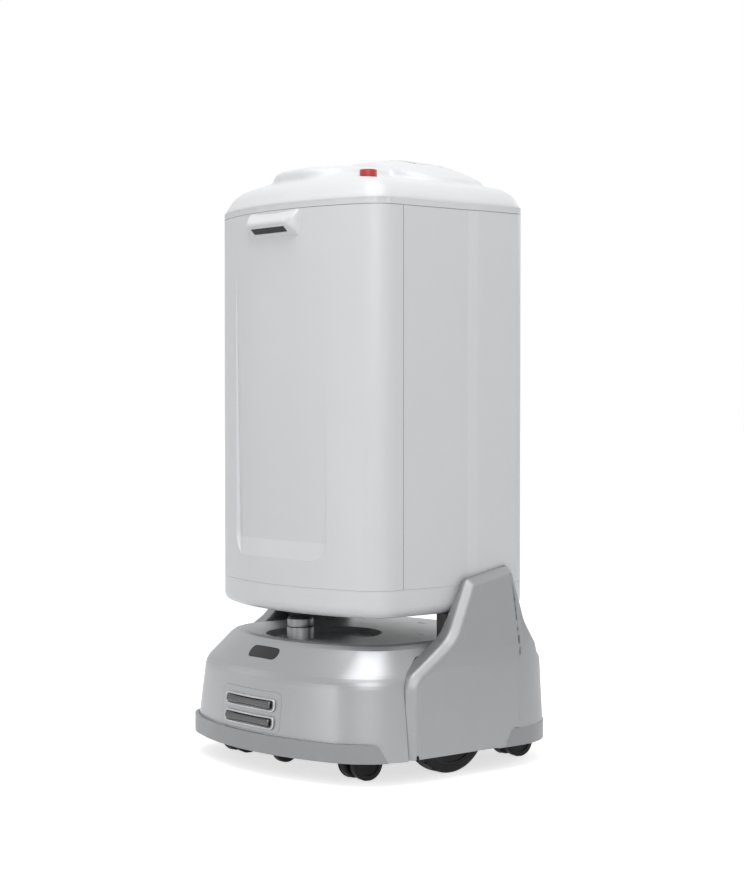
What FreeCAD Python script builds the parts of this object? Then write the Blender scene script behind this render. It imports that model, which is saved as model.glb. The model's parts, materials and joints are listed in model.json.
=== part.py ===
import FreeCAD, Part
import math
import os

V = FreeCAD.Vector

# A tray delivery robot, in millimetres. +Z is up, the front looks along -Y, +X is the robot's left.
# The origin is on the floor under the centre of the base.

# Fits and walls
SEAM = 0.4
RUNNING = 0.05
REST_GAP = 0.3
WALL = 3.0
ARM_WALL = 4.0
THROUGH = 60.0

# Base plan and heights
BASE_HALF_WIDTH = 315.0
BASE_HALF_LENGTH = 312.0
BASE_FRONT_BOW = 88.0
BASE_REAR_BOW = 70.0
BASE_CORNER_R = 150.0
DECK_CORNER_R = 90.0
BASE_BOTTOM_Z = 46.0
BASE_LOW_INSET = 4.0
SHOULDER_Z = 197.0
SHOULDER_INSET = 18.0
SHOULDER_SOFT = 14.0
SHOULDER_STEPS = 4
REAR_SHOULDER_Z = 219.0
REAR_LEAN = 0.0715
DECK_Z = 260.0
DECK_INSET = 80.0
DECK_EDGE = ((-10.0, -17.0), (-3.0, -9.0), (0.0, 0.0))
REAR_SPLIT_Y = BASE_HALF_LENGTH - 142.0
REAR_COVER_HALF_WIDTH = BASE_HALF_WIDTH - 115.0
DECK_SLOT_HALF_LENGTH = 11.0
DECK_SLOT_HALF_WIDTH = 2.5
DECK_SLOTS = ((-146.0, 21.0), (146.0, 21.0), (0.0, 152.0))

# Bumper bands
BUMPER_TOP_Z = 82.0
BUMPER_THICK = 7.0
FRONT_BUMPER_TOP_Y = 100.0 - BASE_HALF_LENGTH
FRONT_BUMPER_LOW_Y = 118.0 - BASE_HALF_LENGTH
REAR_BUMPER_TOP_Y = BASE_HALF_LENGTH - 199.0
REAR_BUMPER_LOW_Y = BASE_HALF_LENGTH - 215.0
BUMPER_BEND_R = 16.0

# Deck dish and lidar
DISH_Y = 202.0 - BASE_HALF_LENGTH
DISH_R = 118.0
DISH_FLOOR_R = 104.0
DISH_DEPTH = 11.0
LIDAR_Y = DISH_Y - 61.0
LIDAR_BASE_R = 27.0
LIDAR_BASE_H = 28.0
LIDAR_FOOT_R = 30.0
LIDAR_FOOT_H = 4.0
LIDAR_HEAD_R = 26.0
LIDAR_HEAD_H = 15.5
LIDAR_GAP = 1.2
LIDAR_SPINDLE_R = 9.0
LIDAR_SPINDLE_H = 8.0
LIDAR_CAP_H = 4.0
LIDAR_CAP_INSET = 1.5

# Front window and charging panel of the base
EYE_HALF_WIDTH = 45.5
EYE_HALF_HEIGHT = 13.5
EYE_CORNER_R = 12.0
EYE_RISE = 36.4
EYE_REACH = 20.0
PANEL_HALF_WIDTH = 95.0
PANEL_LOW_Z = 85.0
PANEL_TOP_Z = 165.0
PANEL_CORNER_R = 14.0
CONTACT_HALF_LENGTH = 71.0
CONTACT_R = 8.0
CONTACT_END_R = 5.0
CONTACT_Z = (105.0, 139.0)
CONTACT_PROUD = 6.0

# Side arms that cover the posts
ARM_INNER_X = BASE_HALF_WIDTH - 51.0
ARM_FRONT_Y = -150.0
ARM_KNEE = (-150.0, 200.0, 46.0)
ARM_WAIST = (-37.0, 273.0, 80.0)
ARM_BROW = (26.0, 380.5, 20.0)
ARM_TIP = (148.0, 404.0, 17.0)
ARM_BACK = (170.0, 290.0, 60.0)
ARM_HEEL = (BASE_HALF_LENGTH - 106.0, REAR_SHOULDER_Z)
ARM_LEAN_Z = 230.0
ARM_LEAN_SOFT = 15.0
ARM_TOP_INSET = 29.0
ARM_BEVEL = 14.0
ARM_CORNER_Y = BASE_HALF_LENGTH - 162.0

# Posts that carry the cabinet
POST_OUTER_X = ARM_INNER_X - 8.0
POST_INNER_X = POST_OUTER_X - 28.0
POST_CLEARANCE = 1.0
POST_FRONT_Y = -8.0
POST_REAR_Y = 126.0
POST_LEG = 15.0
POST_ARCH_R = 108.0
POST_KNEE_Z = 170.0
POST_HIP_Z = 232.0
POST_BEND_R = 20.0
LUG_R = 8.0
LUG_Z = 206.0
LUG_Y = (25.0, 95.0)
BOLT_R = 4.0
BOLT_HEAD_R = 5.0
BOLT_HEAD_H = 5.0
BOLT_DEPTH = 30.0

# Chassis plate and what stands on it
PLATE_Z = 88.0
PLATE_THICK = 6.0
PLATE_INSET = 26.0
WHEEL_SLOT_HALF_LENGTH = 106.0
WHEEL_SLOT_SIDE_GAP = 10.0
SWING_SLOT_GAP = 1.5
BATTERY_SIZE = (250.0, 150.0, 96.0)
BATTERY_Y = -70.0
BOX_SIZE = (220.0, 120.0, 70.0)
BOX_Y = 130.0
CASE_EDGE_R = 8.0

# Drive units
WHEEL_R = 95.0
WHEEL_WIDTH = 40.0
WHEEL_OUTER_X = BASE_HALF_WIDTH - 49.0
TYRE_THICK = 17.0
TYRE_SHOULDER_R = 8.0
HUB_DISH = 8.0
HUB_DISH_R = 52.0
AXLE_R = 8.0
PIVOT_Y = -112.0
PIVOT_Z = 116.0
PIVOT_R = 6.0
SWING_WHEEL_GAP = 12.0
SWING_THICK = 12.0
SWING_BOSS_R = 16.0
BRACKET_THICK = 14.0
BRACKET_HALF_FOOT = 24.0
BRACKET_TOP_Z = 178.0
BRACKET_BEND_R = 6.0
BRACKET_CROWN_R = 20.0
SPRING_Y = -52.0
SPRING_R = 11.0
SPRING_WAIST = 3.0
SPRING_LOBES = 4
SPRING_SEAT_HALF = 13.0
SPRING_SEAT_Z = 126.0

# Casters
CASTER_X = BASE_HALF_WIDTH - 121.0
CASTER_Y = BASE_HALF_LENGTH - 110.0
CASTER_TRAIL = 27.0
CASTER_WHEEL_R = 34.0
CASTER_WHEEL_W = 18.0
CASTER_WHEEL_GAP = 16.0
CASTER_TREAD = 5.0
CASTER_AXLE_R = 4.0
CASTER_WEB = 12.0
CASTER_TOE_R = 6.0
CASTER_CROWN_R = 24.0
CASTER_CROWN_Z = 72.0
CASTER_CROWN_H = 7.0
CASTER_STEM_R = 6.0
SOCKET_R = 13.0
SOCKET_FLANGE_R = 27.0
SOCKET_FLANGE_H = 5.0

# Front guide roller
GUIDE_Y = 103.0 - BASE_HALF_LENGTH
GUIDE_Z = 39.0
GUIDE_R = 30.0
GUIDE_WIDTH = 20.0
GUIDE_AXLE_R = 4.0
GUIDE_CHEEK = 4.0
GUIDE_SIDE_GAP = 1.5
GUIDE_TOE_R = 6.0

# Cabinet plan and heights
CAB_HALF_WIDTH = 259.0
CAB_STEP = 4.0
CAB_STEP_FRONT_Y = 46.0
CAB_STEP_REAR_Y = 70.0
CAB_FRONT_Y = -241.0
CAB_REAR_Y = 203.5
CAB_BOW = 61.8
CAB_FRONT_R = 60.0
CAB_REAR_R = 30.0
CAB_UNDER_Z = 312.0
CAB_LOW_Z = 366.0
CAB_TOP_Z = 1106.0
CAB_BELLY_R = 21.0
CAB_SPLIT_Y = -121.0

# Recess in the cabinet's front
RECESS_TOP_Z = CAB_TOP_Z - 86.0
RECESS_FADE = 25.0
RECESS_LOW_Z = 419.0
RECESS_DEPTH = 8.0
RECESS_LEDGE = 5.0
RECESS_LIP = 0.4
RECESS_HALF_WIDTH = 148.0
RECESS_SIDE_Y = -221.0
RECESS_SIDE_SLOPE = 0.8
RECESS_CORNER_R = 46.0
RECESS_NEAR_Y = -264.0
RECESS_FAR_Y = -196.0

# Tray bay, open to the rear
BAY_HALF_WIDTH = 222.0
BAY_LOW_Z = 392.0
BAY_TOP_Z = CAB_TOP_Z - 26.0
BAY_FRONT_Y = -175.0
BAY_CORNER_R = 18.0
FLANGE_HALF_WIDTH = 236.0
RAIL_WIDTH = 16.0
RAIL_THICK = 6.0
RAIL_FRONT_Y = BAY_FRONT_Y + 7.0
RAIL_REAR_Y = CAB_REAR_Y - 8.0
TRAY_FIRST_Z = BAY_LOW_Z + 10.0
TRAY_PITCH = 168.0
TRAY_COUNT = int((BAY_TOP_Z - TRAY_FIRST_Z) / TRAY_PITCH)
TRAY_SIDE_GAP = 4.0
TRAY_H = 28.0
TRAY_FLOOR = 4.0
TRAY_CORNER_R = 18.0
TRAY_FRONT_Y = BAY_FRONT_Y + 9.0
TRAY_REAR_Y = CAB_REAR_Y - 9.5
TRAY_NOTCH_HALF = 60.0
TRAY_NOTCH_DEPTH = 12.0

# Top cap: rise above the top seam, then the insets at the front, side and rear
CAP_LEVELS = (
    (0.0, 0.0, 0.0, 0.0), (12.0, 0.0, 0.0, 0.0), (24.0, 9.0, 7.0, 8.0), (35.0, 16.0, 15.0, 15.0),
    (44.0, 24.0, 24.0, 23.0), (50.0, 31.0, 33.0, 31.0), (55.0, 39.0, 50.0, 40.0), (59.0, 48.0, 75.0, 56.0),
    (64.0, 60.0, 110.0, 84.0), (70.0, 80.0, 140.0, 105.0), (75.0, 105.0, 165.0, 110.0),
)
CROWN_LOW_Z = CAB_TOP_Z + 34.0
LOBE_HALF_WIDTH = 110.0
LOBE_FRONT_Y = -194.0
LOBE_REAR_Y = 60.0
LOBE_CORNER_R = 80.0
LOBE_TOP_Z = CAB_TOP_Z + 97.0
LOBE_CENTRE_Y = -70.0
LOBE_DOME_R = 600.0
LOBE_EDGE_R = 15.0
POD_HALF_WIDTH = 200.0
POD_FRONT_Y = -22.0
POD_REAR_Y = CAB_REAR_Y - 11.5
POD_CORNER_R = 88.0
POD_TOP_Z = CAB_TOP_Z + 120.0
POD_CENTRE_Y = 71.0
POD_DOME_R = 400.0
POD_EDGE_R = 9.0
SCREEN_TILT = 16.0
SCREEN_Y = 120.0
SCREEN_DROP = 24.5
SCREEN_HALF_WIDTH = 85.0
SCREEN_HALF_LENGTH = 52.0
SCREEN_MARGIN = 10.0
SCREEN_THICK = 4.0
SCREEN_CORNER_R = 8.0

# Emergency stop
STOP_X = 180.0
STOP_Y = -143.0
STOP_HEAD_R = 16.5
STOP_HEAD_H = 13.7
STOP_CREST_R = 5.0
STOP_TRAVEL = 3.5
STOP_STEM_R = 8.0
STOP_COLLAR_R = 18.5
STOP_COLLAR_H = 20.5
STOP_COLLAR_TOP_Z = CAB_TOP_Z + 54.5

# Camera hood under the top seam
HOOD_ROOT_HALF = 80.0
HOOD_TIP_HALF = 79.0
HOOD_TOP_Z = CAB_TOP_Z - 4.0
HOOD_RIDGE_Z = CAB_TOP_Z - 30.0
HOOD_LOW_Z = CAB_TOP_Z - 58.0
HOOD_PROUD = 18.0
HOOD_NOSE = 3.0
HOOD_EDGE_R = 2.0
HOOD_CORNER_R = 17.0
GLASS_HALF_WIDTH = 53.0
GLASS_HALF_HEIGHT = 8.5
GLASS_CORNER_R = 5.0
GLASS_SET = 1.5
GLASS_THICK = 3.0


def box(x0, x1, y0, y1, z0, z1):
    return Part.makeBox(x1 - x0, y1 - y0, z1 - z0, V(x0, y0, z0))


def rod_x(radius, x0, x1, y, z):
    return Part.makeCylinder(radius, x1 - x0, V(x0, y, z), V(1, 0, 0))


def rod_z(radius, x, y, z0, z1):
    return Part.makeCylinder(radius, z1 - z0, V(x, y, z0))


def mirrored(shape):
    return shape.mirror(V(0, 0, 0), V(1, 0, 0))


def rounded_wire(corners, place):
    """Closed outline of (u, v, radius) corners, with each corner rounded to its radius."""
    edges = []
    starts = []
    ends = []
    for i, (u, v, radius) in enumerate(corners):
        here = FreeCAD.Vector(u, v, 0)
        before = FreeCAD.Vector(corners[i - 1][0], corners[i - 1][1], 0) - here
        after_corner = corners[(i + 1) % len(corners)]
        after = FreeCAD.Vector(after_corner[0], after_corner[1], 0) - here
        before.normalize()
        after.normalize()
        half = before.getAngle(after) / 2
        reach = radius / math.tan(half)
        starts.append(here + before * reach)
        ends.append(here + after * reach)
        if radius > 0:
            middle = (before + after).normalize()
            crest = here + middle * (radius / math.sin(half) - radius)
            edges.append([starts[i], crest, ends[i]])
        else:
            edges.append(None)
    pieces = []
    for i, arc in enumerate(edges):
        if arc:
            pieces.append(Part.Arc(*[place(point.x, point.y) for point in arc]).toShape())
        a = place(ends[i].x, ends[i].y)
        follower = starts[(i + 1) % len(corners)]
        b = place(follower.x, follower.y)
        if (a - b).Length > 1e-6:
            pieces.append(Part.makeLine(a, b))
    return Part.Wire(pieces)


def side_prism(corners, x0, x1):
    """Prism of a side-view outline in (y, z), from x0 to x1."""
    return Part.Face(rounded_wire(corners, lambda y, z: V(x0, y, z))).extrude(V(x1 - x0, 0, 0))


def front_prism(corners, y0, y1):
    """Prism of a front-view outline in (x, z), from y0 to y1."""
    return Part.Face(rounded_wire(corners, lambda x, z: V(x, y0, z))).extrude(V(0, y1 - y0, 0))


def plan_prism(corners, z0, z1):
    """Prism of a plan outline in (x, y), from z0 to z1."""
    return Part.Face(rounded_wire(corners, lambda x, y: V(x, y, z0))).extrude(V(0, 0, z1 - z0))


def rectangle(half_u, v0, v1, radius):
    return [(-half_u, v0, radius), (half_u, v0, radius), (half_u, v1, radius), (-half_u, v1, radius)]


def upright_edges(solid, x, y):
    """Upright edges of a prism at plan points (x, y) and (-x, y)."""
    near = []
    for edge in solid.Edges:
        a = edge.Vertexes[0].Point
        b = edge.Vertexes[-1].Point
        if math.hypot(a.x - b.x, a.y - b.y) < 1e-6 and math.hypot(abs(a.x) - x, a.y - y) < 1e-4:
            near.append(edge)
    return near


def base_prism(inset, radius, z0, z1):
    """Prism of the base's plan, with bowed ends and rounded corners, drawn in by inset."""
    half_width = BASE_HALF_WIDTH - inset
    end = BASE_HALF_LENGTH - inset
    front_y = BASE_FRONT_BOW - end
    rear_y = end - BASE_REAR_BOW
    front_left = V(half_width, front_y, z0)
    front_right = V(-half_width, front_y, z0)
    rear_left = V(half_width, rear_y, z0)
    rear_right = V(-half_width, rear_y, z0)
    outline = Part.Wire([
        Part.Arc(front_right, V(0, -end, z0), front_left).toShape(),
        Part.makeLine(front_left, rear_left),
        Part.Arc(rear_left, V(0, end, z0), rear_right).toShape(),
        Part.makeLine(rear_right, front_right),
    ])
    solid = Part.Face(outline).extrude(V(0, 0, z1 - z0))
    corners = upright_edges(solid, half_width, front_y) + upright_edges(solid, half_width, rear_y)
    return solid.makeFillet(radius, corners)


def lowest_wire(solid):
    return min(solid.Faces, key=lambda face: face.CenterOfMass.z).OuterWire


def base_wire(inset, radius, z, shift=0.0):
    """The base's plan at height z, moved forward by shift."""
    wire = lowest_wire(base_prism(inset, radius, z, z + THROUGH))
    wire.translate(V(0, -shift, 0))
    return wire


def soft_shoulder(low, shoulder, high):
    """Levels (z, inset, radius) of a curve round a shoulder, which starts and ends SHOULDER_SOFT from it."""
    below = FreeCAD.Vector(*low) - FreeCAD.Vector(*shoulder)
    above = FreeCAD.Vector(*high) - FreeCAD.Vector(*shoulder)
    start = FreeCAD.Vector(*shoulder) + below * (SHOULDER_SOFT / math.hypot(below.x, below.y))
    end = FreeCAD.Vector(*shoulder) + above * (SHOULDER_SOFT / math.hypot(above.x, above.y))
    levels = []
    for step in range(SHOULDER_STEPS + 1):
        t = step / SHOULDER_STEPS
        levels.append(start * (1 - t) ** 2 + FreeCAD.Vector(*shoulder) * (2 * t * (1 - t)) + end * t ** 2)
    return [(level.x, level.y, level.z) for level in levels]


def base_form(wall, low_inset, shoulder_z, shoulder_inset, lean=0.0):
    """Body of the base: a leaning wall, a soft shoulder, and a slope up to the rounded edge of the deck."""
    low = (BASE_BOTTOM_Z, low_inset, BASE_CORNER_R)
    shoulder = (shoulder_z, shoulder_inset, BASE_CORNER_R)
    deck = [(DECK_Z + dz - wall, DECK_INSET + inset, DECK_CORNER_R) for dz, inset in DECK_EDGE]
    levels = [low] + soft_shoulder(low, shoulder, deck[0]) + deck
    wires = []
    for z, inset, radius in levels:
        wires.append(base_wire(inset + wall, radius - wall, z, lean * (z - BASE_BOTTOM_Z)))
    return Part.makeLoft(wires, True, True)


def cabinet_prism(inset, z0, z1, front_extra=0.0, rear_extra=0.0):
    """Prism of the cabinet's plan: bowed front, flat sides that step out towards the rear, square rear."""
    half_width = CAB_HALF_WIDTH - inset
    rear_half_width = half_width + CAB_STEP
    front = CAB_FRONT_Y + inset + front_extra
    rear = CAB_REAR_Y - inset - rear_extra
    side = front + CAB_BOW * (half_width / CAB_HALF_WIDTH) ** 2
    left = [
        V(half_width, side, z0),
        V(half_width, CAB_STEP_FRONT_Y, z0),
        V(rear_half_width, CAB_STEP_REAR_Y, z0),
        V(rear_half_width, rear, z0),
    ]
    points = left + [V(-point.x, point.y, z0) for point in reversed(left)]
    outline = [Part.makeLine(a, b) for a, b in zip(points, points[1:])]
    outline.append(Part.Arc(points[-1], V(0, front, z0), points[0]).toShape())
    solid = Part.Face(Part.Wire(outline)).extrude(V(0, 0, z1 - z0))
    front_r = max(CAB_FRONT_R - inset, CAB_FRONT_R / 2)
    rear_r = max(CAB_REAR_R - inset, CAB_REAR_R / 2)
    solid = solid.makeFillet(front_r, upright_edges(solid, half_width, side))
    return solid.makeFillet(rear_r, upright_edges(solid, rear_half_width, rear))


def inset_corners(corners, inset):
    """Clockwise outline of (u, v, radius) corners drawn in by inset, with its arcs kept concentric."""
    drawn_in = []
    for i, (u, v, radius) in enumerate(corners):
        before = corners[i - 1]
        after = corners[(i + 1) % len(corners)]
        come = FreeCAD.Vector(u - before[0], v - before[1], 0).normalize()
        leave = FreeCAD.Vector(after[0] - u, after[1] - v, 0).normalize()
        inward = FreeCAD.Vector(come.y + leave.y, -come.x - leave.x, 0) * (inset / (1 + come.dot(leave)))
        grow = inset if come.cross(leave).z > 0 else -inset
        drawn_in.append((u + inward.x, v + inward.y, radius + grow if radius else 0))
    return drawn_in


def arm_outline():
    """Side view of an arm, whose front and back edges run on below the base's bottom."""
    low_z = BASE_BOTTOM_Z - THROUGH
    heel_y, heel_z = ARM_HEEL
    back_y, back_z, _ = ARM_BACK
    tail_y = heel_y + (heel_y - back_y) * (heel_z - low_z) / (back_z - heel_z)
    return [(ARM_FRONT_Y, low_z, 0), ARM_KNEE, ARM_WAIST, ARM_BROW, ARM_TIP, ARM_BACK, (tail_y, low_z, 0)]


def arm_blade(wall, inner_x, low_z):
    """Blade of the left arm with a bevelled outer rim: upright below, and leaning in above in two steps."""
    outline = inset_corners(arm_outline(), wall)
    bevel = ARM_BEVEL - wall * (2 - math.sqrt(2))
    rim = inset_corners(outline, bevel)
    lean = ARM_TOP_INSET / (ARM_TIP[1] - ARM_LEAN_Z)
    soft_low = ARM_LEAN_Z - ARM_LEAN_SOFT
    soft_high = ARM_LEAN_Z + ARM_LEAN_SOFT
    slabs = []
    for z0, z1, slope, start_z in ((low_z, soft_low, 0, soft_low), (soft_low, soft_high, lean / 2, soft_low),
                                   (soft_high, ARM_TIP[1] + THROUGH, lean, ARM_LEAN_Z)):
        wires = []
        for corners, depth in ((rim, 0), (outline, bevel), (outline, BASE_HALF_WIDTH)):
            face_x = BASE_HALF_WIDTH - wall - depth
            wires.append(rounded_wire(corners, lambda y, z: V(face_x - slope * (z - start_z), y, z)))
        zone = box(inner_x, BASE_HALF_WIDTH, -BASE_HALF_LENGTH, BASE_HALF_LENGTH, z0, z1)
        slabs.append(Part.makeLoft(wires, True, True).common(zone))
    return slabs[0].fuse(slabs[1:]).removeSplitter()


def arm_body(wall):
    """Left arm as a filled form, drawn in by wall and left open inwards and below when it is hollow."""
    inner_x = ARM_INNER_X if not wall else REAR_COVER_HALF_WIDTH - THROUGH
    low_z = BASE_BOTTOM_Z if not wall else BASE_BOTTOM_Z - THROUGH / 2
    wires = []
    for z in (low_z, ARM_TIP[1]):
        wires.append(base_wire(wall, BASE_CORNER_R - wall, z, REAR_LEAN * (z - BASE_BOTTOM_Z)))
    plan = Part.makeLoft(wires, True, True)
    reach = 0 if not wall else THROUGH
    corner_zone = box(REAR_COVER_HALF_WIDTH - reach, BASE_HALF_WIDTH, ARM_CORNER_Y - reach, BASE_HALF_LENGTH,
                      0, DECK_Z)
    corner = base_form(wall, 0, REAR_SHOULDER_Z, 0, REAR_LEAN).common(corner_zone)
    return arm_blade(wall, inner_x, low_z).common(plan), corner


def post_outline():
    foot_z = PLATE_Z + PLATE_THICK
    foot = POST_ARCH_R + POST_LEG
    return [
        (-foot, foot_z, 0), (-foot, POST_KNEE_Z, POST_BEND_R), (POST_FRONT_Y, POST_HIP_Z, POST_BEND_R),
        (POST_FRONT_Y, CAB_UNDER_Z, 0), (POST_REAR_Y, CAB_UNDER_Z, 0), (POST_REAR_Y, foot_z, 0),
    ]


def bumper_zone(top_y, low_y, end_y):
    """Side-view zone of a bumper band, whose top edge runs down to the bottom edge beside the arm."""
    return side_prism([
        (low_y, BASE_BOTTOM_Z, 0), (top_y, BUMPER_TOP_Z, BUMPER_BEND_R),
        (end_y, BUMPER_TOP_Z, 0), (end_y, BASE_BOTTOM_Z, 0),
    ], -BASE_HALF_WIDTH - THROUGH, BASE_HALF_WIDTH + THROUGH)


def dish(grow):
    """Shallow round dish in the deck, deeper and wider by grow."""
    floor_centre = V(0, DISH_Y, DECK_Z - DISH_DEPTH - grow)
    return Part.makeCone(DISH_FLOOR_R + grow, DISH_R + grow, DISH_DEPTH, floor_centre)


def slope_placement(y, z, angle):
    """Place of a flat feature at (0, y, z) whose own +Z is tipped by angle towards the front."""
    return FreeCAD.Placement(V(0, y, z), FreeCAD.Rotation(V(1, 0, 0), angle))


def make_base():
    parts = {}
    front_form = base_form(0, BASE_LOW_INSET, SHOULDER_Z, SHOULDER_INSET)
    front_core = base_form(WALL, BASE_LOW_INSET, SHOULDER_Z, SHOULDER_INSET)
    front_shell = front_form.cut(dish(0)).cut(front_core.cut(dish(WALL)))
    rear_form = base_form(0, 0, REAR_SHOULDER_Z, 0, REAR_LEAN)
    rear_shell = rear_form.cut(base_form(WALL, 0, REAR_SHOULDER_Z, 0, REAR_LEAN))

    front_zone = bumper_zone(FRONT_BUMPER_TOP_Y, FRONT_BUMPER_LOW_Y, -BASE_HALF_LENGTH - THROUGH)
    rear_zone = bumper_zone(REAR_BUMPER_TOP_Y, REAR_BUMPER_LOW_Y, BASE_HALF_LENGTH + THROUGH)
    band = base_prism(0, BASE_CORNER_R, BASE_BOTTOM_Z, BUMPER_TOP_Z)
    band = band.cut(base_prism(BUMPER_THICK, BASE_CORNER_R - BUMPER_THICK, BASE_BOTTOM_Z, BUMPER_TOP_Z))
    parts["front_bumper"] = band.common(front_zone)
    parts["rear_bumper"] = band.common(rear_zone)

    blade, corner = arm_body(0)
    blade_core, corner_core = arm_body(ARM_WALL)
    arm = blade.fuse(corner).cut(blade_core).cut(corner_core).cut(rear_zone).removeSplitter()
    parts["arm_cover_left"] = arm
    parts["arm_cover_right"] = mirrored(arm)

    post_slot = box(POST_INNER_X - POST_CLEARANCE, POST_OUTER_X + POST_CLEARANCE,
                    POST_FRONT_Y - POST_CLEARANCE, POST_REAR_Y + POST_CLEARANCE, 0, CAB_UNDER_Z)
    arm_zone = side_prism(inset_corners(arm_outline(), -SEAM), ARM_INNER_X - SEAM, BASE_HALF_WIDTH + THROUGH)
    cover = front_shell.cut(front_zone)
    for zone in (arm_zone, post_slot):
        cover = cover.cut(zone).cut(mirrored(zone))
    deck_half = ARM_INNER_X - SEAM
    deck_zone = box(-deck_half, deck_half, ARM_FRONT_Y, REAR_SPLIT_Y, SHOULDER_Z + SHOULDER_SOFT, DECK_Z)
    nose_zone = box(-BASE_HALF_WIDTH, BASE_HALF_WIDTH, -BASE_HALF_LENGTH, ARM_WAIST[0], 0, DECK_Z)
    cover = cover.common(deck_zone.fuse(nose_zone))

    for x, y in DECK_SLOTS:
        cover = cover.cut(box(x - DECK_SLOT_HALF_LENGTH, x + DECK_SLOT_HALF_LENGTH,
                              y - DECK_SLOT_HALF_WIDTH, y + DECK_SLOT_HALF_WIDTH, DECK_Z - THROUGH, DECK_Z))

    slope_rise = DECK_Z + DECK_EDGE[0][0] - SHOULDER_Z
    slope_run = DECK_INSET + DECK_EDGE[0][1] - SHOULDER_INSET
    eye_y = SHOULDER_INSET + slope_run * EYE_RISE / slope_rise - BASE_HALF_LENGTH
    tilt = math.degrees(math.atan2(slope_rise, slope_run))
    eyes = []
    for gap in (0, SEAM):
        half_height = EYE_HALF_HEIGHT + gap
        outline = rectangle(EYE_HALF_WIDTH + gap, -half_height, half_height, EYE_CORNER_R + gap)
        eyes.append(plan_prism(outline, -EYE_REACH, EYE_REACH))
        eyes[-1].Placement = slope_placement(eye_y, SHOULDER_Z + EYE_RISE, tilt)
    eye, eye_hole = eyes
    parts["sensor_window"] = cover.common(eye)
    cover = cover.cut(eye_hole)

    front_y = -BASE_HALF_LENGTH
    panels = []
    for gap in (0, SEAM):
        corner_r = PANEL_CORNER_R + gap
        outline = rectangle(PANEL_HALF_WIDTH + gap, PANEL_LOW_Z - gap, PANEL_TOP_Z + gap, corner_r)
        panels.append(front_prism(outline, front_y, front_y + THROUGH))
    panel, panel_hole = panels
    plate = cover.common(panel)
    cover = cover.cut(panel_hole)
    contacts = []
    lean = (SHOULDER_INSET - BASE_LOW_INSET) / (SHOULDER_Z - BASE_BOTTOM_Z)
    for z in CONTACT_Z:
        wall_y = front_y + BASE_LOW_INSET + lean * (z - BASE_BOTTOM_Z)
        bar, bar_hole = [
            rod_x(CONTACT_R + gap, -CONTACT_HALF_LENGTH - gap, CONTACT_HALF_LENGTH + gap,
                  wall_y + CONTACT_R - CONTACT_PROUD, z) for gap in (0, RUNNING)]
        contacts.append(bar.makeFillet(CONTACT_END_R, bar.Edges))
        plate = plate.cut(bar_hole.makeFillet(CONTACT_END_R, bar_hole.Edges))
    parts["charge_panel"] = plate
    parts["charge_contacts"] = Part.makeCompound(contacts)
    parts["base_cover"] = cover
    rear_box = box(-REAR_COVER_HALF_WIDTH + SEAM, REAR_COVER_HALF_WIDTH - SEAM,
                   REAR_SPLIT_Y + SEAM, BASE_HALF_LENGTH, 0, DECK_Z)
    parts["base_rear_cover"] = rear_shell.common(rear_box).cut(rear_zone)
    return parts


def bolt_shanks(gap):
    """Shanks of the left bolts, or with a gap their holes, from the cabinet's floor down into the post."""
    x = POST_INNER_X + BOLT_HEAD_R
    rows = (POST_FRONT_Y + BOLT_HEAD_R * 3, POST_REAR_Y - BOLT_HEAD_R * 3)
    return [rod_z(BOLT_R + gap, x, y, CAB_UNDER_Z - BOLT_DEPTH - gap, CAB_UNDER_Z + WALL) for y in rows]


def make_posts():
    post = side_prism(post_outline(), POST_INNER_X, POST_OUTER_X)
    post = post.cut(rod_x(POST_ARCH_R, POST_INNER_X, POST_OUTER_X, 0, WHEEL_R))
    post = post.cut(box(POST_INNER_X, POST_OUTER_X, -POST_ARCH_R, POST_ARCH_R, 0, WHEEL_R))
    for y in LUG_Y:
        post = post.fuse(rod_x(LUG_R, POST_OUTER_X, BASE_HALF_WIDTH - ARM_WALL, y, LUG_Z))
    for hole in bolt_shanks(RUNNING):
        post = post.cut(hole)
    return {"arm_post_left": post, "arm_post_right": mirrored(post)}


def swing_outer_x():
    return WHEEL_OUTER_X - WHEEL_WIDTH - SWING_WHEEL_GAP


def swing_slot_x():
    """Inner edge of the chassis slot, beside the spring seat of the swing arm."""
    return swing_outer_x() - 2 * SWING_THICK - SWING_SLOT_GAP


def make_chassis():
    parts = {}
    top_z = PLATE_Z + PLATE_THICK
    plate = base_prism(PLATE_INSET, BASE_CORNER_R - PLATE_INSET, PLATE_Z, top_z)
    outer_x = WHEEL_OUTER_X + WHEEL_SLOT_SIDE_GAP
    slot = box(swing_slot_x(), outer_x, -WHEEL_SLOT_HALF_LENGTH, WHEEL_SLOT_HALF_LENGTH, PLATE_Z, top_z)
    notch = box(ARM_INNER_X - SEAM, BASE_HALF_WIDTH, ARM_FRONT_Y - SEAM, ARM_FRONT_Y + ARM_WALL + SEAM,
                PLATE_Z, top_z)
    for opening in (slot, notch):
        plate = plate.cut(opening).cut(mirrored(opening))
    sockets = []
    for x in (-CASTER_X, CASTER_X):
        for y in (-CASTER_Y, CASTER_Y):
            plate = plate.cut(rod_z(SOCKET_R, x, y, PLATE_Z, top_z))
            socket = rod_z(SOCKET_R, x, y, PLATE_Z, top_z + PLATE_THICK)
            socket = socket.fuse(rod_z(SOCKET_FLANGE_R, x, y, PLATE_Z - SOCKET_FLANGE_H, PLATE_Z))
            bore = rod_z(CASTER_STEM_R + RUNNING, x, y, PLATE_Z - SOCKET_FLANGE_H, top_z)
            sockets.append(socket.cut(bore))
    parts["chassis_plate"] = plate
    parts["caster_sockets"] = Part.makeCompound(sockets)
    for name, size, y in (("battery_pack", BATTERY_SIZE, BATTERY_Y), ("control_box", BOX_SIZE, BOX_Y)):
        case = box(-size[0] / 2, size[0] / 2, y - size[1] / 2, y + size[1] / 2, top_z, top_z + size[2])
        lid = max(case.Faces, key=lambda face: face.CenterOfMass.z)
        parts[name] = case.makeFillet(CASE_EDGE_R, lid.Edges)
    return parts


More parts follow.
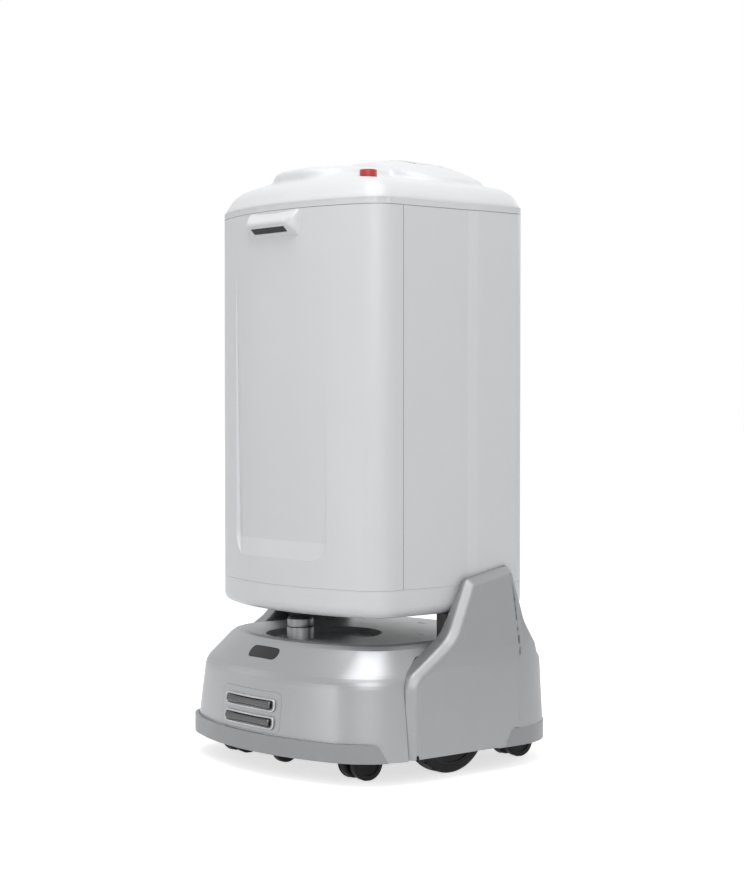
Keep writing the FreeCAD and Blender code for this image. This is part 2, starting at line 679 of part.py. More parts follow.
def make_lidar():
    floor_z = DECK_Z - DISH_DEPTH
    base_top = floor_z + LIDAR_BASE_H
    spindle_top = base_top + LIDAR_SPINDLE_H
    base = rod_z(LIDAR_FOOT_R, 0, LIDAR_Y, floor_z, floor_z + LIDAR_FOOT_H)
    base = base.fuse(rod_z(LIDAR_BASE_R, 0, LIDAR_Y, floor_z, base_top))
    base = base.fuse(rod_z(LIDAR_SPINDLE_R, 0, LIDAR_Y, floor_z, spindle_top))
    head_low = base_top + LIDAR_GAP
    head_top = head_low + LIDAR_HEAD_H
    head = rod_z(LIDAR_HEAD_R, 0, LIDAR_Y, head_low, head_top)
    head = head.fuse(rod_z(LIDAR_HEAD_R - LIDAR_CAP_INSET, 0, LIDAR_Y, head_top, head_top + LIDAR_CAP_H))
    head = head.cut(rod_z(LIDAR_SPINDLE_R + RUNNING, 0, LIDAR_Y, head_low, spindle_top + LIDAR_GAP))
    return {"lidar_base": base, "lidar_head": head}


def make_drive():
    parts = {}
    wheel_inner_x = WHEEL_OUTER_X - WHEEL_WIDTH
    swing_x = swing_outer_x()
    swing_inner_x = swing_x - SWING_THICK
    plate_top = PLATE_Z + PLATE_THICK

    tyre = rod_x(WHEEL_R, wheel_inner_x, WHEEL_OUTER_X, 0, WHEEL_R)
    tyre = tyre.makeFillet(TYRE_SHOULDER_R, [edge for edge in tyre.Edges if edge.Length > WHEEL_R * 3])
    rim_r = WHEEL_R - TYRE_THICK
    tyre = tyre.cut(rod_x(rim_r, wheel_inner_x, WHEEL_OUTER_X, 0, WHEEL_R))
    hub = rod_x(rim_r, wheel_inner_x, WHEEL_OUTER_X, 0, WHEEL_R)
    hub = hub.cut(rod_x(HUB_DISH_R, WHEEL_OUTER_X - HUB_DISH, WHEEL_OUTER_X, 0, WHEEL_R))
    hub = hub.cut(rod_x(AXLE_R + RUNNING, wheel_inner_x, WHEEL_OUTER_X, 0, WHEEL_R))
    axle = rod_x(AXLE_R, swing_inner_x, WHEEL_OUTER_X - HUB_DISH + RUNNING, 0, WHEEL_R)

    swing = side_prism([
        (PIVOT_Y, PIVOT_Z - SWING_BOSS_R, 0), (0, WHEEL_R - SWING_BOSS_R, 0),
        (0, WHEEL_R + SWING_BOSS_R, 0), (PIVOT_Y, PIVOT_Z + SWING_BOSS_R, 0),
    ], swing_inner_x, swing_x)
    for y, z in ((PIVOT_Y, PIVOT_Z), (0, WHEEL_R)):
        swing = swing.fuse(rod_x(SWING_BOSS_R, swing_inner_x, swing_x, y, z))
    seat = box(swing_inner_x - SWING_THICK, swing_x, SPRING_Y - SPRING_SEAT_HALF, SPRING_Y + SPRING_SEAT_HALF,
               WHEEL_R, SPRING_SEAT_Z)
    swing = swing.fuse(seat)
    swing = swing.cut(rod_x(PIVOT_R + RUNNING, swing_inner_x - THROUGH, swing_x, PIVOT_Y, PIVOT_Z))
    swing = swing.cut(rod_x(AXLE_R + RUNNING, swing_inner_x, swing_x, 0, WHEEL_R))

    bracket_outer_x = swing_slot_x() - REST_GAP
    bracket_inner_x = bracket_outer_x - BRACKET_THICK
    beam_low = BRACKET_TOP_Z - BRACKET_THICK
    bracket = side_prism([
        (PIVOT_Y - BRACKET_HALF_FOOT, plate_top, 0), (PIVOT_Y + BRACKET_HALF_FOOT, plate_top, 0),
        (PIVOT_Y + BRACKET_HALF_FOOT, beam_low, BRACKET_BEND_R), (SPRING_Y + SPRING_R, beam_low, 0),
        (SPRING_Y + SPRING_R, BRACKET_TOP_Z, 0),
        (PIVOT_Y - BRACKET_HALF_FOOT, BRACKET_TOP_Z, BRACKET_CROWN_R),
    ], bracket_inner_x, bracket_outer_x)
    spring_x = (swing_inner_x - SWING_THICK + swing_x) / 2
    bracket = bracket.fuse(box(bracket_inner_x, spring_x + SPRING_R, SPRING_Y - SPRING_R, SPRING_Y + SPRING_R,
                               beam_low, BRACKET_TOP_Z))
    pin = rod_x(PIVOT_R, bracket_inner_x, swing_x, PIVOT_Y, PIVOT_Z)
    bracket = bracket.cut(rod_x(PIVOT_R + RUNNING, bracket_inner_x, bracket_outer_x, PIVOT_Y, PIVOT_Z))

    lobe = (beam_low - SPRING_SEAT_Z) / SPRING_LOBES
    profile = [V(spring_x, SPRING_Y, beam_low), V(spring_x, SPRING_Y, SPRING_SEAT_Z)]
    outline = [Part.makeLine(*profile)]
    edge_x = spring_x + SPRING_R - SPRING_WAIST
    outline.append(Part.makeLine(profile[1], V(edge_x, SPRING_Y, SPRING_SEAT_Z)))
    for i in range(SPRING_LOBES):
        low = SPRING_SEAT_Z + i * lobe
        arc = Part.Arc(V(edge_x, SPRING_Y, low), V(edge_x + SPRING_WAIST, SPRING_Y, low + lobe / 2),
                       V(edge_x, SPRING_Y, low + lobe))
        outline.append(arc.toShape())
    outline.append(Part.makeLine(V(edge_x, SPRING_Y, beam_low), profile[0]))
    spring = Part.Face(Part.Wire(outline)).revolve(profile[0], V(0, 0, 1), 360)

    sides = {"left": lambda shape: shape, "right": mirrored}
    for side, place in sides.items():
        for name, shape in (("drive_tyre", tyre), ("drive_hub", hub), ("drive_axle", axle),
                            ("drive_arm", swing), ("suspension_spring", spring)):
            parts[f"{name}_{side}"] = place(shape)
    parts["drive_brackets"] = Part.makeCompound([bracket, mirrored(bracket)])
    parts["pivot_pins"] = Part.makeCompound([pin, mirrored(pin)])
    return parts


def caster_wheel(x0, y):
    wheel = rod_x(CASTER_WHEEL_R, x0, x0 + CASTER_WHEEL_W, y, CASTER_WHEEL_R)
    wheel = wheel.makeFillet(CASTER_TREAD, [edge for edge in wheel.Edges if edge.Length > CASTER_WHEEL_R * 3])
    return wheel.cut(rod_x(CASTER_AXLE_R, x0, x0 + CASTER_WHEEL_W, y, CASTER_WHEEL_R))


def make_casters():
    parts = {}
    corners = {"front_left": (1, -1), "front_right": (-1, -1), "rear_left": (1, 1), "rear_right": (-1, 1)}
    crown_top = CASTER_CROWN_Z + CASTER_CROWN_H
    for corner, (side, end) in corners.items():
        x = side * CASTER_X
        y = end * CASTER_Y
        axle_y = y + CASTER_TRAIL
        web = side_prism([
            (axle_y + CASTER_AXLE_R * 2, CASTER_WHEEL_R - CASTER_AXLE_R * 2, CASTER_TOE_R),
            (axle_y + CASTER_AXLE_R * 3, CASTER_CROWN_Z, 0), (y - CASTER_CROWN_R / 2, CASTER_CROWN_Z, 0),
            (axle_y - CASTER_AXLE_R * 3, CASTER_WHEEL_R - CASTER_AXLE_R * 2, CASTER_TOE_R),
        ], x - CASTER_WEB / 2, x + CASTER_WEB / 2)
        yoke = web.fuse(rod_z(CASTER_CROWN_R, x, y, CASTER_CROWN_Z, crown_top))
        yoke = yoke.fuse(rod_z(CASTER_STEM_R, x, y, CASTER_CROWN_Z, PLATE_Z + PLATE_THICK - REST_GAP))
        outer = CASTER_WHEEL_GAP / 2 + CASTER_WHEEL_W
        yoke = yoke.cut(rod_x(CASTER_AXLE_R + RUNNING, x - outer, x + outer, axle_y, CASTER_WHEEL_R))
        parts[f"caster_{corner}_yoke"] = yoke
        parts[f"caster_{corner}_axle"] = rod_x(CASTER_AXLE_R, x - outer, x + outer, axle_y, CASTER_WHEEL_R)
        parts[f"caster_{corner}_wheels"] = Part.makeCompound(
            [caster_wheel(x + CASTER_WHEEL_GAP / 2, axle_y), caster_wheel(x - outer, axle_y)])
    return parts


def make_guide():
    half = GUIDE_WIDTH / 2
    roller = rod_x(GUIDE_R, -half, half, GUIDE_Y, GUIDE_Z)
    roller = roller.makeFillet(CASTER_TREAD, [edge for edge in roller.Edges if edge.Length > GUIDE_R * 3])
    roller = roller.cut(rod_x(GUIDE_AXLE_R + RUNNING, -half, half, GUIDE_Y, GUIDE_Z))
    reach = half + GUIDE_SIDE_GAP + GUIDE_CHEEK
    cheek_foot = GUIDE_AXLE_R * 2
    cheek = side_prism([
        (GUIDE_Y - cheek_foot, GUIDE_Z - cheek_foot, GUIDE_TOE_R),
        (GUIDE_Y + cheek_foot, GUIDE_Z - cheek_foot, GUIDE_TOE_R),
        (GUIDE_Y + cheek_foot * 2, PLATE_Z, 0), (GUIDE_Y - cheek_foot * 2, PLATE_Z, 0),
    ], -reach, reach)
    slot = box(-half - GUIDE_SIDE_GAP, half + GUIDE_SIDE_GAP, GUIDE_Y - THROUGH, GUIDE_Y + THROUGH,
               0, PLATE_Z - GUIDE_CHEEK)
    axle = rod_x(GUIDE_AXLE_R, -reach, reach, GUIDE_Y, GUIDE_Z)
    bore = rod_x(GUIDE_AXLE_R + RUNNING, -reach, reach, GUIDE_Y, GUIDE_Z)
    return {"guide_roller": roller, "guide_bracket": cheek.cut(slot).cut(bore), "guide_axle": axle}


def recess_outline(y, grow):
    """Outline of the front recess on the upright plane at y, wider towards the front."""
    half_width = RECESS_HALF_WIDTH - RECESS_SIDE_SLOPE * (y - RECESS_SIDE_Y) + grow
    low = RECESS_LOW_Z - grow
    return rounded_wire([
        (-half_width, low, RECESS_CORNER_R), (half_width, low, RECESS_CORNER_R),
        (half_width, RECESS_TOP_Z + RECESS_FADE, 0), (-half_width, RECESS_TOP_Z + RECESS_FADE, 0),
    ], lambda x, z: V(x, y, z))


def recess(wall):
    """Space of the shallow front recess, which deepens from nothing at its top to a ledge along its foot."""
    wires = [recess_outline(y, wall) for y in (RECESS_NEAR_Y, RECESS_FAR_Y)]
    space = Part.makeLoft(wires, True, True)
    floor_angle = math.degrees(math.atan(RECESS_DEPTH / (RECESS_TOP_Z - RECESS_LOW_Z)))
    ledge_angle = math.degrees(math.atan(1 / RECESS_LEDGE))
    ledge_z = RECESS_LOW_Z - RECESS_LIP * RECESS_LEDGE
    for z, angle in ((RECESS_TOP_Z, floor_angle), (ledge_z, -ledge_angle)):
        body = cabinet_prism(wall, CAB_UNDER_Z, CAB_TOP_Z)
        body.rotate(V(0, CAB_FRONT_Y + wall, z), V(1, 0, 0), angle)
        space = space.cut(body)
    return space


def make_cabinet():
    parts = {}
    low = CAB_LOW_Z + SEAM
    top = CAB_TOP_Z - SEAM
    skin = cabinet_prism(0, low, top).cut(recess(0))
    skin = skin.cut(cabinet_prism(WALL, low, top).cut(recess(WALL)))
    reach = CAB_HALF_WIDTH + THROUGH
    parts["cabinet_front_shell"] = skin.common(box(-reach, reach, -reach, CAB_SPLIT_Y - SEAM, low, top))
    side = skin.common(box(FLANGE_HALF_WIDTH + SEAM, reach, CAB_SPLIT_Y, reach, low, top))
    parts["cabinet_left_panel"] = side
    parts["cabinet_right_panel"] = mirrored(side)

    belly = cabinet_prism(0, CAB_UNDER_Z, CAB_LOW_Z)
    under = min(belly.Faces, key=lambda face: face.CenterOfMass.z)
    belly = belly.makeFillet(CAB_BELLY_R, under.Edges)
    belly_core = cabinet_prism(WALL, CAB_UNDER_Z + WALL, CAB_LOW_Z)
    core_under = min(belly_core.Faces, key=lambda face: face.CenterOfMass.z)
    belly = belly.cut(belly_core.makeFillet(CAB_BELLY_R - WALL, core_under.Edges))
    bolts = []
    for shank, hole in zip(bolt_shanks(0), bolt_shanks(RUNNING)):
        foot = shank.BoundBox.Center
        head_z = CAB_UNDER_Z + WALL
        bolts.append(shank.fuse(rod_z(BOLT_HEAD_R, foot.x, foot.y, head_z, head_z + BOLT_HEAD_H)))
        bolts.append(mirrored(bolts[-1]))
        belly = belly.cut(hole).cut(mirrored(hole))
    parts["cabinet_bottom"] = belly
    parts["cabinet_bolts"] = Part.makeCompound(bolts)

    return parts


def tray_level(index):
    """Height of the rails' upper faces at one tray."""
    return TRAY_FIRST_Z + index * TRAY_PITCH


def slices(shape, x_cuts, z_cuts):
    """The solids of a shape between the given planes."""
    found = []
    for x0, x1 in zip(x_cuts, x_cuts[1:]):
        for z0, z1 in zip(z_cuts, z_cuts[1:]):
            found += shape.common(box(x0, x1, BAY_FRONT_Y - WALL, CAB_REAR_Y, z0, z1)).Solids
    return found


def make_bay():
    """Liner of the tray bay: flat panels, corner strips, a frame round the mouth, and rails on the walls."""
    bay = rectangle(BAY_HALF_WIDTH, BAY_LOW_Z, BAY_TOP_Z, BAY_CORNER_R)
    outside = rectangle(BAY_HALF_WIDTH + WALL, BAY_LOW_Z - WALL, BAY_TOP_Z + WALL, BAY_CORNER_R + WALL)
    mouth_y = CAB_REAR_Y - WALL
    space = front_prism(bay, BAY_FRONT_Y, CAB_REAR_Y)
    walls = front_prism(outside, BAY_FRONT_Y, mouth_y).cut(space)
    frame = box(-FLANGE_HALF_WIDTH, FLANGE_HALF_WIDTH, mouth_y, CAB_REAR_Y,
                CAB_LOW_Z + SEAM, CAB_TOP_Z - SEAM)
    corner_x = BAY_HALF_WIDTH - BAY_CORNER_R
    x_cuts = (-FLANGE_HALF_WIDTH, -corner_x, corner_x, FLANGE_HALF_WIDTH)
    z_cuts = (CAB_LOW_Z, BAY_LOW_Z + BAY_CORNER_R, BAY_TOP_Z - BAY_CORNER_R, CAB_TOP_Z)
    panels = [front_prism(outside, BAY_FRONT_Y - WALL, BAY_FRONT_Y)]
    panels += slices(walls, x_cuts, z_cuts) + slices(frame.cut(space), x_cuts, z_cuts)
    rails = []
    for index in range(TRAY_COUNT):
        z = tray_level(index)
        rail = box(BAY_HALF_WIDTH - RAIL_WIDTH, BAY_HALF_WIDTH, RAIL_FRONT_Y, RAIL_REAR_Y, z - RAIL_THICK, z)
        rails += [rail, mirrored(rail)]
    return {"bay_liner": Part.makeCompound(panels + rails)}


def make_trays():
    """Trays, each a floor panel inside a rim of bars and corner pieces, with a low grip in its rear bar."""
    parts = {}
    half = BAY_HALF_WIDTH - TRAY_SIDE_GAP
    corner_x = half - TRAY_CORNER_R
    front_y = TRAY_FRONT_Y + TRAY_CORNER_R
    rear_y = TRAY_REAR_Y - TRAY_CORNER_R
    inside = rectangle(half - WALL, TRAY_FRONT_Y + WALL, TRAY_REAR_Y - WALL, TRAY_CORNER_R - WALL)
    for index in range(TRAY_COUNT):
        low = tray_level(index) + REST_GAP
        top = low + TRAY_H
        floor = plan_prism(inside, low, low + TRAY_FLOOR)
        front = box(-corner_x, corner_x, TRAY_FRONT_Y, TRAY_FRONT_Y + WALL, low, top)
        grip = box(-TRAY_NOTCH_HALF, TRAY_NOTCH_HALF, TRAY_REAR_Y - WALL, TRAY_REAR_Y,
                   low, top - TRAY_NOTCH_DEPTH)
        left = [
            box(half - WALL, half, front_y, rear_y, low, top),
            box(TRAY_NOTCH_HALF, corner_x, TRAY_REAR_Y - WALL, TRAY_REAR_Y, low, top),
        ]
        for y, y0, y1 in ((front_y, TRAY_FRONT_Y, front_y), (rear_y, rear_y, TRAY_REAR_Y)):
            ring = rod_z(TRAY_CORNER_R, corner_x, y, low, top)
            ring = ring.cut(rod_z(TRAY_CORNER_R - WALL, corner_x, y, low, top))
            left.append(ring.common(box(corner_x, half, y0, y1, low, top)))
        rim = [front, grip] + left + [mirrored(bar) for bar in left]
        parts[f"tray_{index + 1}"] = Part.makeCompound([floor] + rim)
    return parts


def domed_plate(corners, top_z, centre_y, dome_r, edge_r, wall):
    """Rounded plate with a domed top and a soft rim, drawn in by wall."""
    plate = Part.Face(rounded_wire(corners, lambda x, y: V(x, y, CROWN_LOW_Z)))
    if wall:
        plate = plate.makeOffset2D(-wall)
    plate = plate.extrude(V(0, 0, top_z - CROWN_LOW_Z))
    plate = plate.common(Part.makeSphere(dome_r - wall, V(0, centre_y, top_z - dome_r)))
    crest = max(plate.Faces, key=lambda face: face.CenterOfMass.z)
    return plate.makeFillet(edge_r - wall, crest.Edges)


def cap_form(wall):
    """Top cap as a filled form: band, shoulder and low crown in one loft, then the front lobe and the pod."""
    wires = []
    for level, (rise, front, side, rear) in enumerate(CAP_LEVELS):
        z = CAB_TOP_Z + rise - (wall if level else 0)
        wires.append(lowest_wire(cabinet_prism(side + wall, z, z + THROUGH, front - side, rear - side)))
    crown = Part.makeLoft(wires, True, True)
    lobe_plan = rectangle(LOBE_HALF_WIDTH, LOBE_FRONT_Y, LOBE_REAR_Y, LOBE_CORNER_R)
    lobe = domed_plate(lobe_plan, LOBE_TOP_Z, LOBE_CENTRE_Y, LOBE_DOME_R, LOBE_EDGE_R, wall)
    pod_plan = rectangle(POD_HALF_WIDTH, POD_FRONT_Y, POD_REAR_Y, POD_CORNER_R)
    pod = domed_plate(pod_plan, POD_TOP_Z, POD_CENTRE_Y, POD_DOME_R, POD_EDGE_R, wall)
    return crown.fuse(lobe).fuse(pod)


def screen_block(half_width, half_length, radius, low, high):
    block = plan_prism(rectangle(half_width, -half_length, half_length, radius), low, high)
    block.Placement = slope_placement(SCREEN_Y, POD_TOP_Z - SCREEN_DROP, -SCREEN_TILT)
    return block


def make_top():
    parts = {}
    facet_half_width = SCREEN_HALF_WIDTH + SCREEN_MARGIN
    facet_half_length = SCREEN_HALF_LENGTH + SCREEN_MARGIN
    facet_r = SCREEN_CORNER_R + SCREEN_MARGIN
    facet = screen_block(facet_half_width, facet_half_length, facet_r, 0, THROUGH)
    under = screen_block(facet_half_width + WALL, facet_half_length + WALL, facet_r + WALL,
                         -SCREEN_THICK - WALL, THROUGH)
    pocket = screen_block(SCREEN_HALF_WIDTH + SEAM, SCREEN_HALF_LENGTH + SEAM, SCREEN_CORNER_R,
                          -SCREEN_THICK, THROUGH)
    glass = screen_block(SCREEN_HALF_WIDTH, SCREEN_HALF_LENGTH, SCREEN_CORNER_R, -SCREEN_THICK, 0)
    cap = cap_form(0).cut(facet).cut(cap_form(WALL).cut(under)).cut(pocket)
    collar_low = STOP_COLLAR_TOP_Z - STOP_COLLAR_H
    collar = rod_z(STOP_COLLAR_R, STOP_X, STOP_Y, collar_low, STOP_COLLAR_TOP_Z)
    cap = cap.cut(rod_z(STOP_COLLAR_R + RUNNING, STOP_X, STOP_Y, collar_low, STOP_COLLAR_TOP_Z + THROUGH))
    collar = collar.cut(rod_z(STOP_STEM_R + REST_GAP, STOP_X, STOP_Y, collar_low, STOP_COLLAR_TOP_Z))
    head_low = STOP_COLLAR_TOP_Z + STOP_TRAVEL + REST_GAP
    head = rod_z(STOP_HEAD_R, STOP_X, STOP_Y, head_low, head_low + STOP_HEAD_H)
    crest = max(head.Edges, key=lambda edge: edge.BoundBox.ZMin)
    head = head.makeFillet(STOP_CREST_R, [crest])
    head = head.fuse(rod_z(STOP_STEM_R, STOP_X, STOP_Y, collar_low, head_low))
    parts["top_cap"] = cap
    parts["display_glass"] = glass
    parts["estop_collar"] = collar
    parts["estop_head"] = head
    return parts


def make_hood():
    tip_y = CAB_FRONT_Y - HOOD_PROUD
    root_y = CAB_FRONT_Y + RECESS_DEPTH
    spread = (HOOD_ROOT_HALF - HOOD_TIP_HALF) / HOOD_PROUD
    root_half = HOOD_ROOT_HALF + spread * RECESS_DEPTH
    profile = side_prism([
        (root_y, HOOD_TOP_Z, 0), (CAB_FRONT_Y, HOOD_TOP_Z, 0), (tip_y, HOOD_RIDGE_Z + HOOD_NOSE, HOOD_EDGE_R),
        (tip_y, HOOD_RIDGE_Z, 0), (CAB_FRONT_Y, HOOD_LOW_Z, 0), (root_y, HOOD_LOW_Z, 0),
    ], -root_half, root_half)
    plan = plan_prism([
        (-root_half, root_y, 0), (root_half, root_y, 0),
        (HOOD_TIP_HALF, tip_y, HOOD_CORNER_R), (-HOOD_TIP_HALF, tip_y, HOOD_CORNER_R),
    ], HOOD_LOW_Z, HOOD_TOP_Z)
    hood = profile.common(plan).cut(cabinet_prism(0, CAB_LOW_Z, CAB_TOP_Z))
    angle = math.degrees(math.atan2(HOOD_PROUD, HOOD_RIDGE_Z - HOOD_LOW_Z))
    place = slope_placement((tip_y + CAB_FRONT_Y) / 2, (HOOD_RIDGE_Z + HOOD_LOW_Z) / 2, 90 + angle)
    blocks = []
    for gap, top in ((0, -GLASS_SET), (RUNNING, GLASS_SET)):
        half_height = GLASS_HALF_HEIGHT + gap
        outline = rectangle(GLASS_HALF_WIDTH + gap, -half_height, half_height, GLASS_CORNER_R)
        block = plan_prism(outline, -GLASS_SET - GLASS_THICK, top)
        block.Placement = place
        blocks.append(block)
    glass, pocket = blocks
    return {"camera_hood": hood.cut(pocket), "camera_window": glass}


def main():
    os.makedirs("parts", exist_ok=True)
    parts = {}
    parts.update(make_base())
    parts.update(make_posts())
    parts.update(make_chassis())
    parts.update(make_lidar())
    parts.update(make_drive())
    parts.update(make_casters())
    parts.update(make_guide())
    parts.update(make_cabinet())
    parts.update(make_bay())
    parts.update(make_trays())
    parts.update(make_top())
    parts.update(make_hood())
    for name, shape in parts.items():
        shape.exportStep(f"parts/{name}.step")
        print(f"{name}: {len(shape.Solids)} solids, {shape.Volume / 1000:.1f} cm3, valid {shape.isValid()}")
    print(f"{len(parts)} nodes")


main()
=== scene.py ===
import json
import math

import bpy
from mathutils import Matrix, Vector

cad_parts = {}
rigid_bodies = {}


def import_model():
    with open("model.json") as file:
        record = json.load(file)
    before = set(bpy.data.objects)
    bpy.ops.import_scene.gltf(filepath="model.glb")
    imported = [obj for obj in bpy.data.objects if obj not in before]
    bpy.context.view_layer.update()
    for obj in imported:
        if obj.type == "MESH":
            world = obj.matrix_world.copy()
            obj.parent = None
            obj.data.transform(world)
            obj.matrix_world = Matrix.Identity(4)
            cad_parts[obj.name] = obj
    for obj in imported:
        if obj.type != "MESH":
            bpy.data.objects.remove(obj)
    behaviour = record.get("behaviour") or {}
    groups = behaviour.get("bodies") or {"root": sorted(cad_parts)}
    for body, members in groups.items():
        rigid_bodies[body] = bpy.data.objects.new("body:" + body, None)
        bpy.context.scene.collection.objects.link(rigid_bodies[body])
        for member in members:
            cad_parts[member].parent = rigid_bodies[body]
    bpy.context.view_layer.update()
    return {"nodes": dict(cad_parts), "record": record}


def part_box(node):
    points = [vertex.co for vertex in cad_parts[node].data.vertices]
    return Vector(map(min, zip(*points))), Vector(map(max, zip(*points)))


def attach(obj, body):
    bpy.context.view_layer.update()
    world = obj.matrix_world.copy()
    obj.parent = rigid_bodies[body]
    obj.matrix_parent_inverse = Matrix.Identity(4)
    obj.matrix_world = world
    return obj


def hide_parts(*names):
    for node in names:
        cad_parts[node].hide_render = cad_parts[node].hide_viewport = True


bpy.ops.object.select_all(action="SELECT")
bpy.ops.object.delete()

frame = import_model()
bpy.ops.object.select_all(action="DESELECT")


# Finishes

# Part of the noise's range that is used
NOISE_LOW = 0.3
NOISE_HIGH = 0.7
COLOUR_SCALE = 4.0
GLOSS_SCALE = 22.0
BUMP_DISTANCE = 0.0003
COAT_ROUGHNESS = 0.15
# How much of a grey's added blue its green gets
GREEN_SHARE = 0.35


def new_finish(name):
    """Material with a Principled shader; returns the material, its nodes, its links and the shader."""
    material = bpy.data.materials.new(name)
    material.use_nodes = True
    nodes = material.node_tree.nodes
    return material, nodes, material.node_tree.links, nodes["Principled BSDF"]


def add_noise(nodes, links, scale, detail, stretch=(1, 1, 1)):
    """Noise on the piece's own coordinates, stretched along an axis for turned or brushed grain."""
    place = nodes.new("ShaderNodeTexCoord")
    mapping = nodes.new("ShaderNodeMapping")
    mapping.inputs["Scale"].default_value = stretch
    links.new(place.outputs["Object"], mapping.inputs["Vector"])
    noise = nodes.new("ShaderNodeTexNoise")
    noise.inputs["Scale"].default_value = scale
    noise.inputs["Detail"].default_value = detail
    links.new(mapping.outputs["Vector"], noise.inputs["Vector"])
    return noise


def vary_colour(nodes, links, shader, noise, dark, light):
    ramp = nodes.new("ShaderNodeValToRGB")
    ramp.color_ramp.elements[0].position = NOISE_LOW
    ramp.color_ramp.elements[0].color = (*dark, 1)
    ramp.color_ramp.elements[1].position = NOISE_HIGH
    ramp.color_ramp.elements[1].color = (*light, 1)
    links.new(noise.outputs["Fac"], ramp.inputs["Fac"])
    links.new(ramp.outputs["Color"], shader.inputs["Base Color"])


def vary_roughness(nodes, links, shader, noise, low, high):
    span = nodes.new("ShaderNodeMapRange")
    span.inputs["From Min"].default_value = NOISE_LOW
    span.inputs["From Max"].default_value = NOISE_HIGH
    span.inputs["To Min"].default_value = low
    span.inputs["To Max"].default_value = high
    links.new(noise.outputs["Fac"], span.inputs["Value"])
    links.new(span.outputs["Result"], shader.inputs["Roughness"])


def add_bump(nodes, links, shader, noise, strength):
    bump = nodes.new("ShaderNodeBump")
    bump.inputs["Strength"].default_value = strength
    bump.inputs["Distance"].default_value = BUMP_DISTANCE
    links.new(noise.outputs["Fac"], bump.inputs["Height"])
    links.new(bump.outputs["Normal"], shader.inputs["Normal"])


def surface(name, dark, light, rough, grain, skin,
            metallic=0.0, coat=0.0, stretch=(1, 1, 1), shine=0.5):
    """Finish with faint drifts of colour and gloss and a fine skin: grain is its scale, skin its strength."""
    material, nodes, links, shader = new_finish(name)
    shader.inputs["Metallic"].default_value = metallic
    shader.inputs["Coat Weight"].default_value = coat
    shader.inputs["Specular IOR Level"].default_value = shine
    shader.inputs["Coat Roughness"].default_value = COAT_ROUGHNESS
    vary_colour(nodes, links, shader, add_noise(nodes, links, COLOUR_SCALE, 2.0), dark, light)
    vary_roughness(nodes, links, shader, add_noise(nodes, links, GLOSS_SCALE, 3.0), *rough)
    add_bump(nodes, links, shader, add_noise(nodes, links, grain, 2.0, stretch), skin)
    return material


def grey(level, blue=0.0):
    return (level, level + blue * GREEN_SHARE, level + blue)


FINISH_OF_SLOT = {
    "cabinet_white": surface("cabinet_white_satin", grey(0.672, 0.026), grey(0.682, 0.026),
                             (0.30, 0.36), 500.0, 0.012),
    "base_silver": surface("base_silver_paint", grey(0.345, 0.015), grey(0.355, 0.015),
                           (0.34, 0.38), 900.0, 0.02, metallic=0.75),
    "dark_frame": surface("dark_frame_paint", grey(0.035), grey(0.05), (0.42, 0.52), 1600.0, 0.12),
    "steel": surface("turned_steel", grey(0.50, 0.02), grey(0.60, 0.02),
                     (0.24, 0.36), 420.0, 0.08, metallic=1.0, stretch=(1, 14, 14)),
    "contact_metal": surface("contact_metal", grey(0.085), grey(0.11),
                             (0.22, 0.28), 500.0, 0.04, metallic=1.0, stretch=(1, 20, 20)),
    "tyre": surface("tyre_rubber", grey(0.010), grey(0.018), (0.50, 0.62), 700.0, 0.2, shine=0.22),
    "black_plastic": surface("black_moulding", grey(0.010), grey(0.016),
                             (0.38, 0.48), 1500.0, 0.12, shine=0.25),
    "dark_window": surface("smoked_window", grey(0.022), grey(0.024),
                           (0.34, 0.38), 300.0, 0.005, shine=0.2),
    "lidar_metal": surface("lidar_turned_metal", grey(0.21, 0.010), grey(0.23, 0.010),
                           (0.36, 0.40), 900.0, 0.006, metallic=1.0, stretch=(1, 1, 26)),
    "stop_red": surface("stop_red_moulding", (0.42, 0.036, 0.028), (0.46, 0.042, 0.032),
                        (0.40, 0.48), 1500.0, 0.04),
    "stop_collar": surface("stop_collar_moulding", grey(0.10), grey(0.13), (0.38, 0.48), 1500.0, 0.1),
    "spring_rubber": surface("spring_rubber", grey(0.02), grey(0.03), (0.6, 0.72), 900.0, 0.2),
    "tray_grey": surface("tray_moulding", grey(0.56), grey(0.60), (0.40, 0.50), 1100.0, 0.12),
    "liner_grey": surface("liner_moulding", grey(0.53, 0.01), grey(0.57, 0.01),
                          (0.42, 0.52), 1000.0, 0.12),
    "screen": surface("screen_glass", grey(0.006), grey(0.009), (0.03, 0.06), 200.0, 0.003, coat=0.8),
    "case_black": surface("case_moulding", grey(0.03), grey(0.045), (0.45, 0.58), 1200.0, 0.2),
}
BUMPER_FINISH = surface("bumper_silver_paint", grey(0.255, 0.012), grey(0.265, 0.012),
                        (0.40, 0.46), 900.0, 0.03, metallic=0.45)
# Darker copy of the base silver for the arm covers: painted shade for their side faces; it is also a little
# rougher
ARM_SHADED_FINISH = surface("arm_silver_painted_shade", grey(0.315, 0.013), grey(0.325, 0.013),
                     (0.42, 0.46), 900.0, 0.02, metallic=0.65)
RIM_FINISH = surface("contact_rim_silver", grey(0.44, 0.015), grey(0.47, 0.015),
                     (0.26, 0.30), 900.0, 0.01, metallic=0.6)
CAMERA_FINISH = surface("camera_black", grey(0.010), grey(0.013), (0.32, 0.38), 900.0, 0.02, shine=0.15)
# Dark grey of the seam strips: painted shade in the cabinet's seams
SEAM_SHADE_FINISH = surface("seam_painted_shade", grey(0.20), grey(0.22), (0.6, 0.7), 900.0, 0.02)


def give_finish(piece, finish):
    piece.data.materials.clear()
    piece.data.materials.append(finish)


for subpart in frame["record"]["subparts"]:
    give_finish(frame["nodes"][subpart["node"]], FINISH_OF_SLOT[subpart["material_slot"]])
for name in ("front_bumper", "rear_bumper"):
    give_finish(frame["nodes"][name], BUMPER_FINISH)


# Modelling by hand

# Turns that lay a cylinder along an axis
ALONG_X = (0, math.pi / 2, 0)
ALONG_Y = (-math.pi / 2, 0, 0)
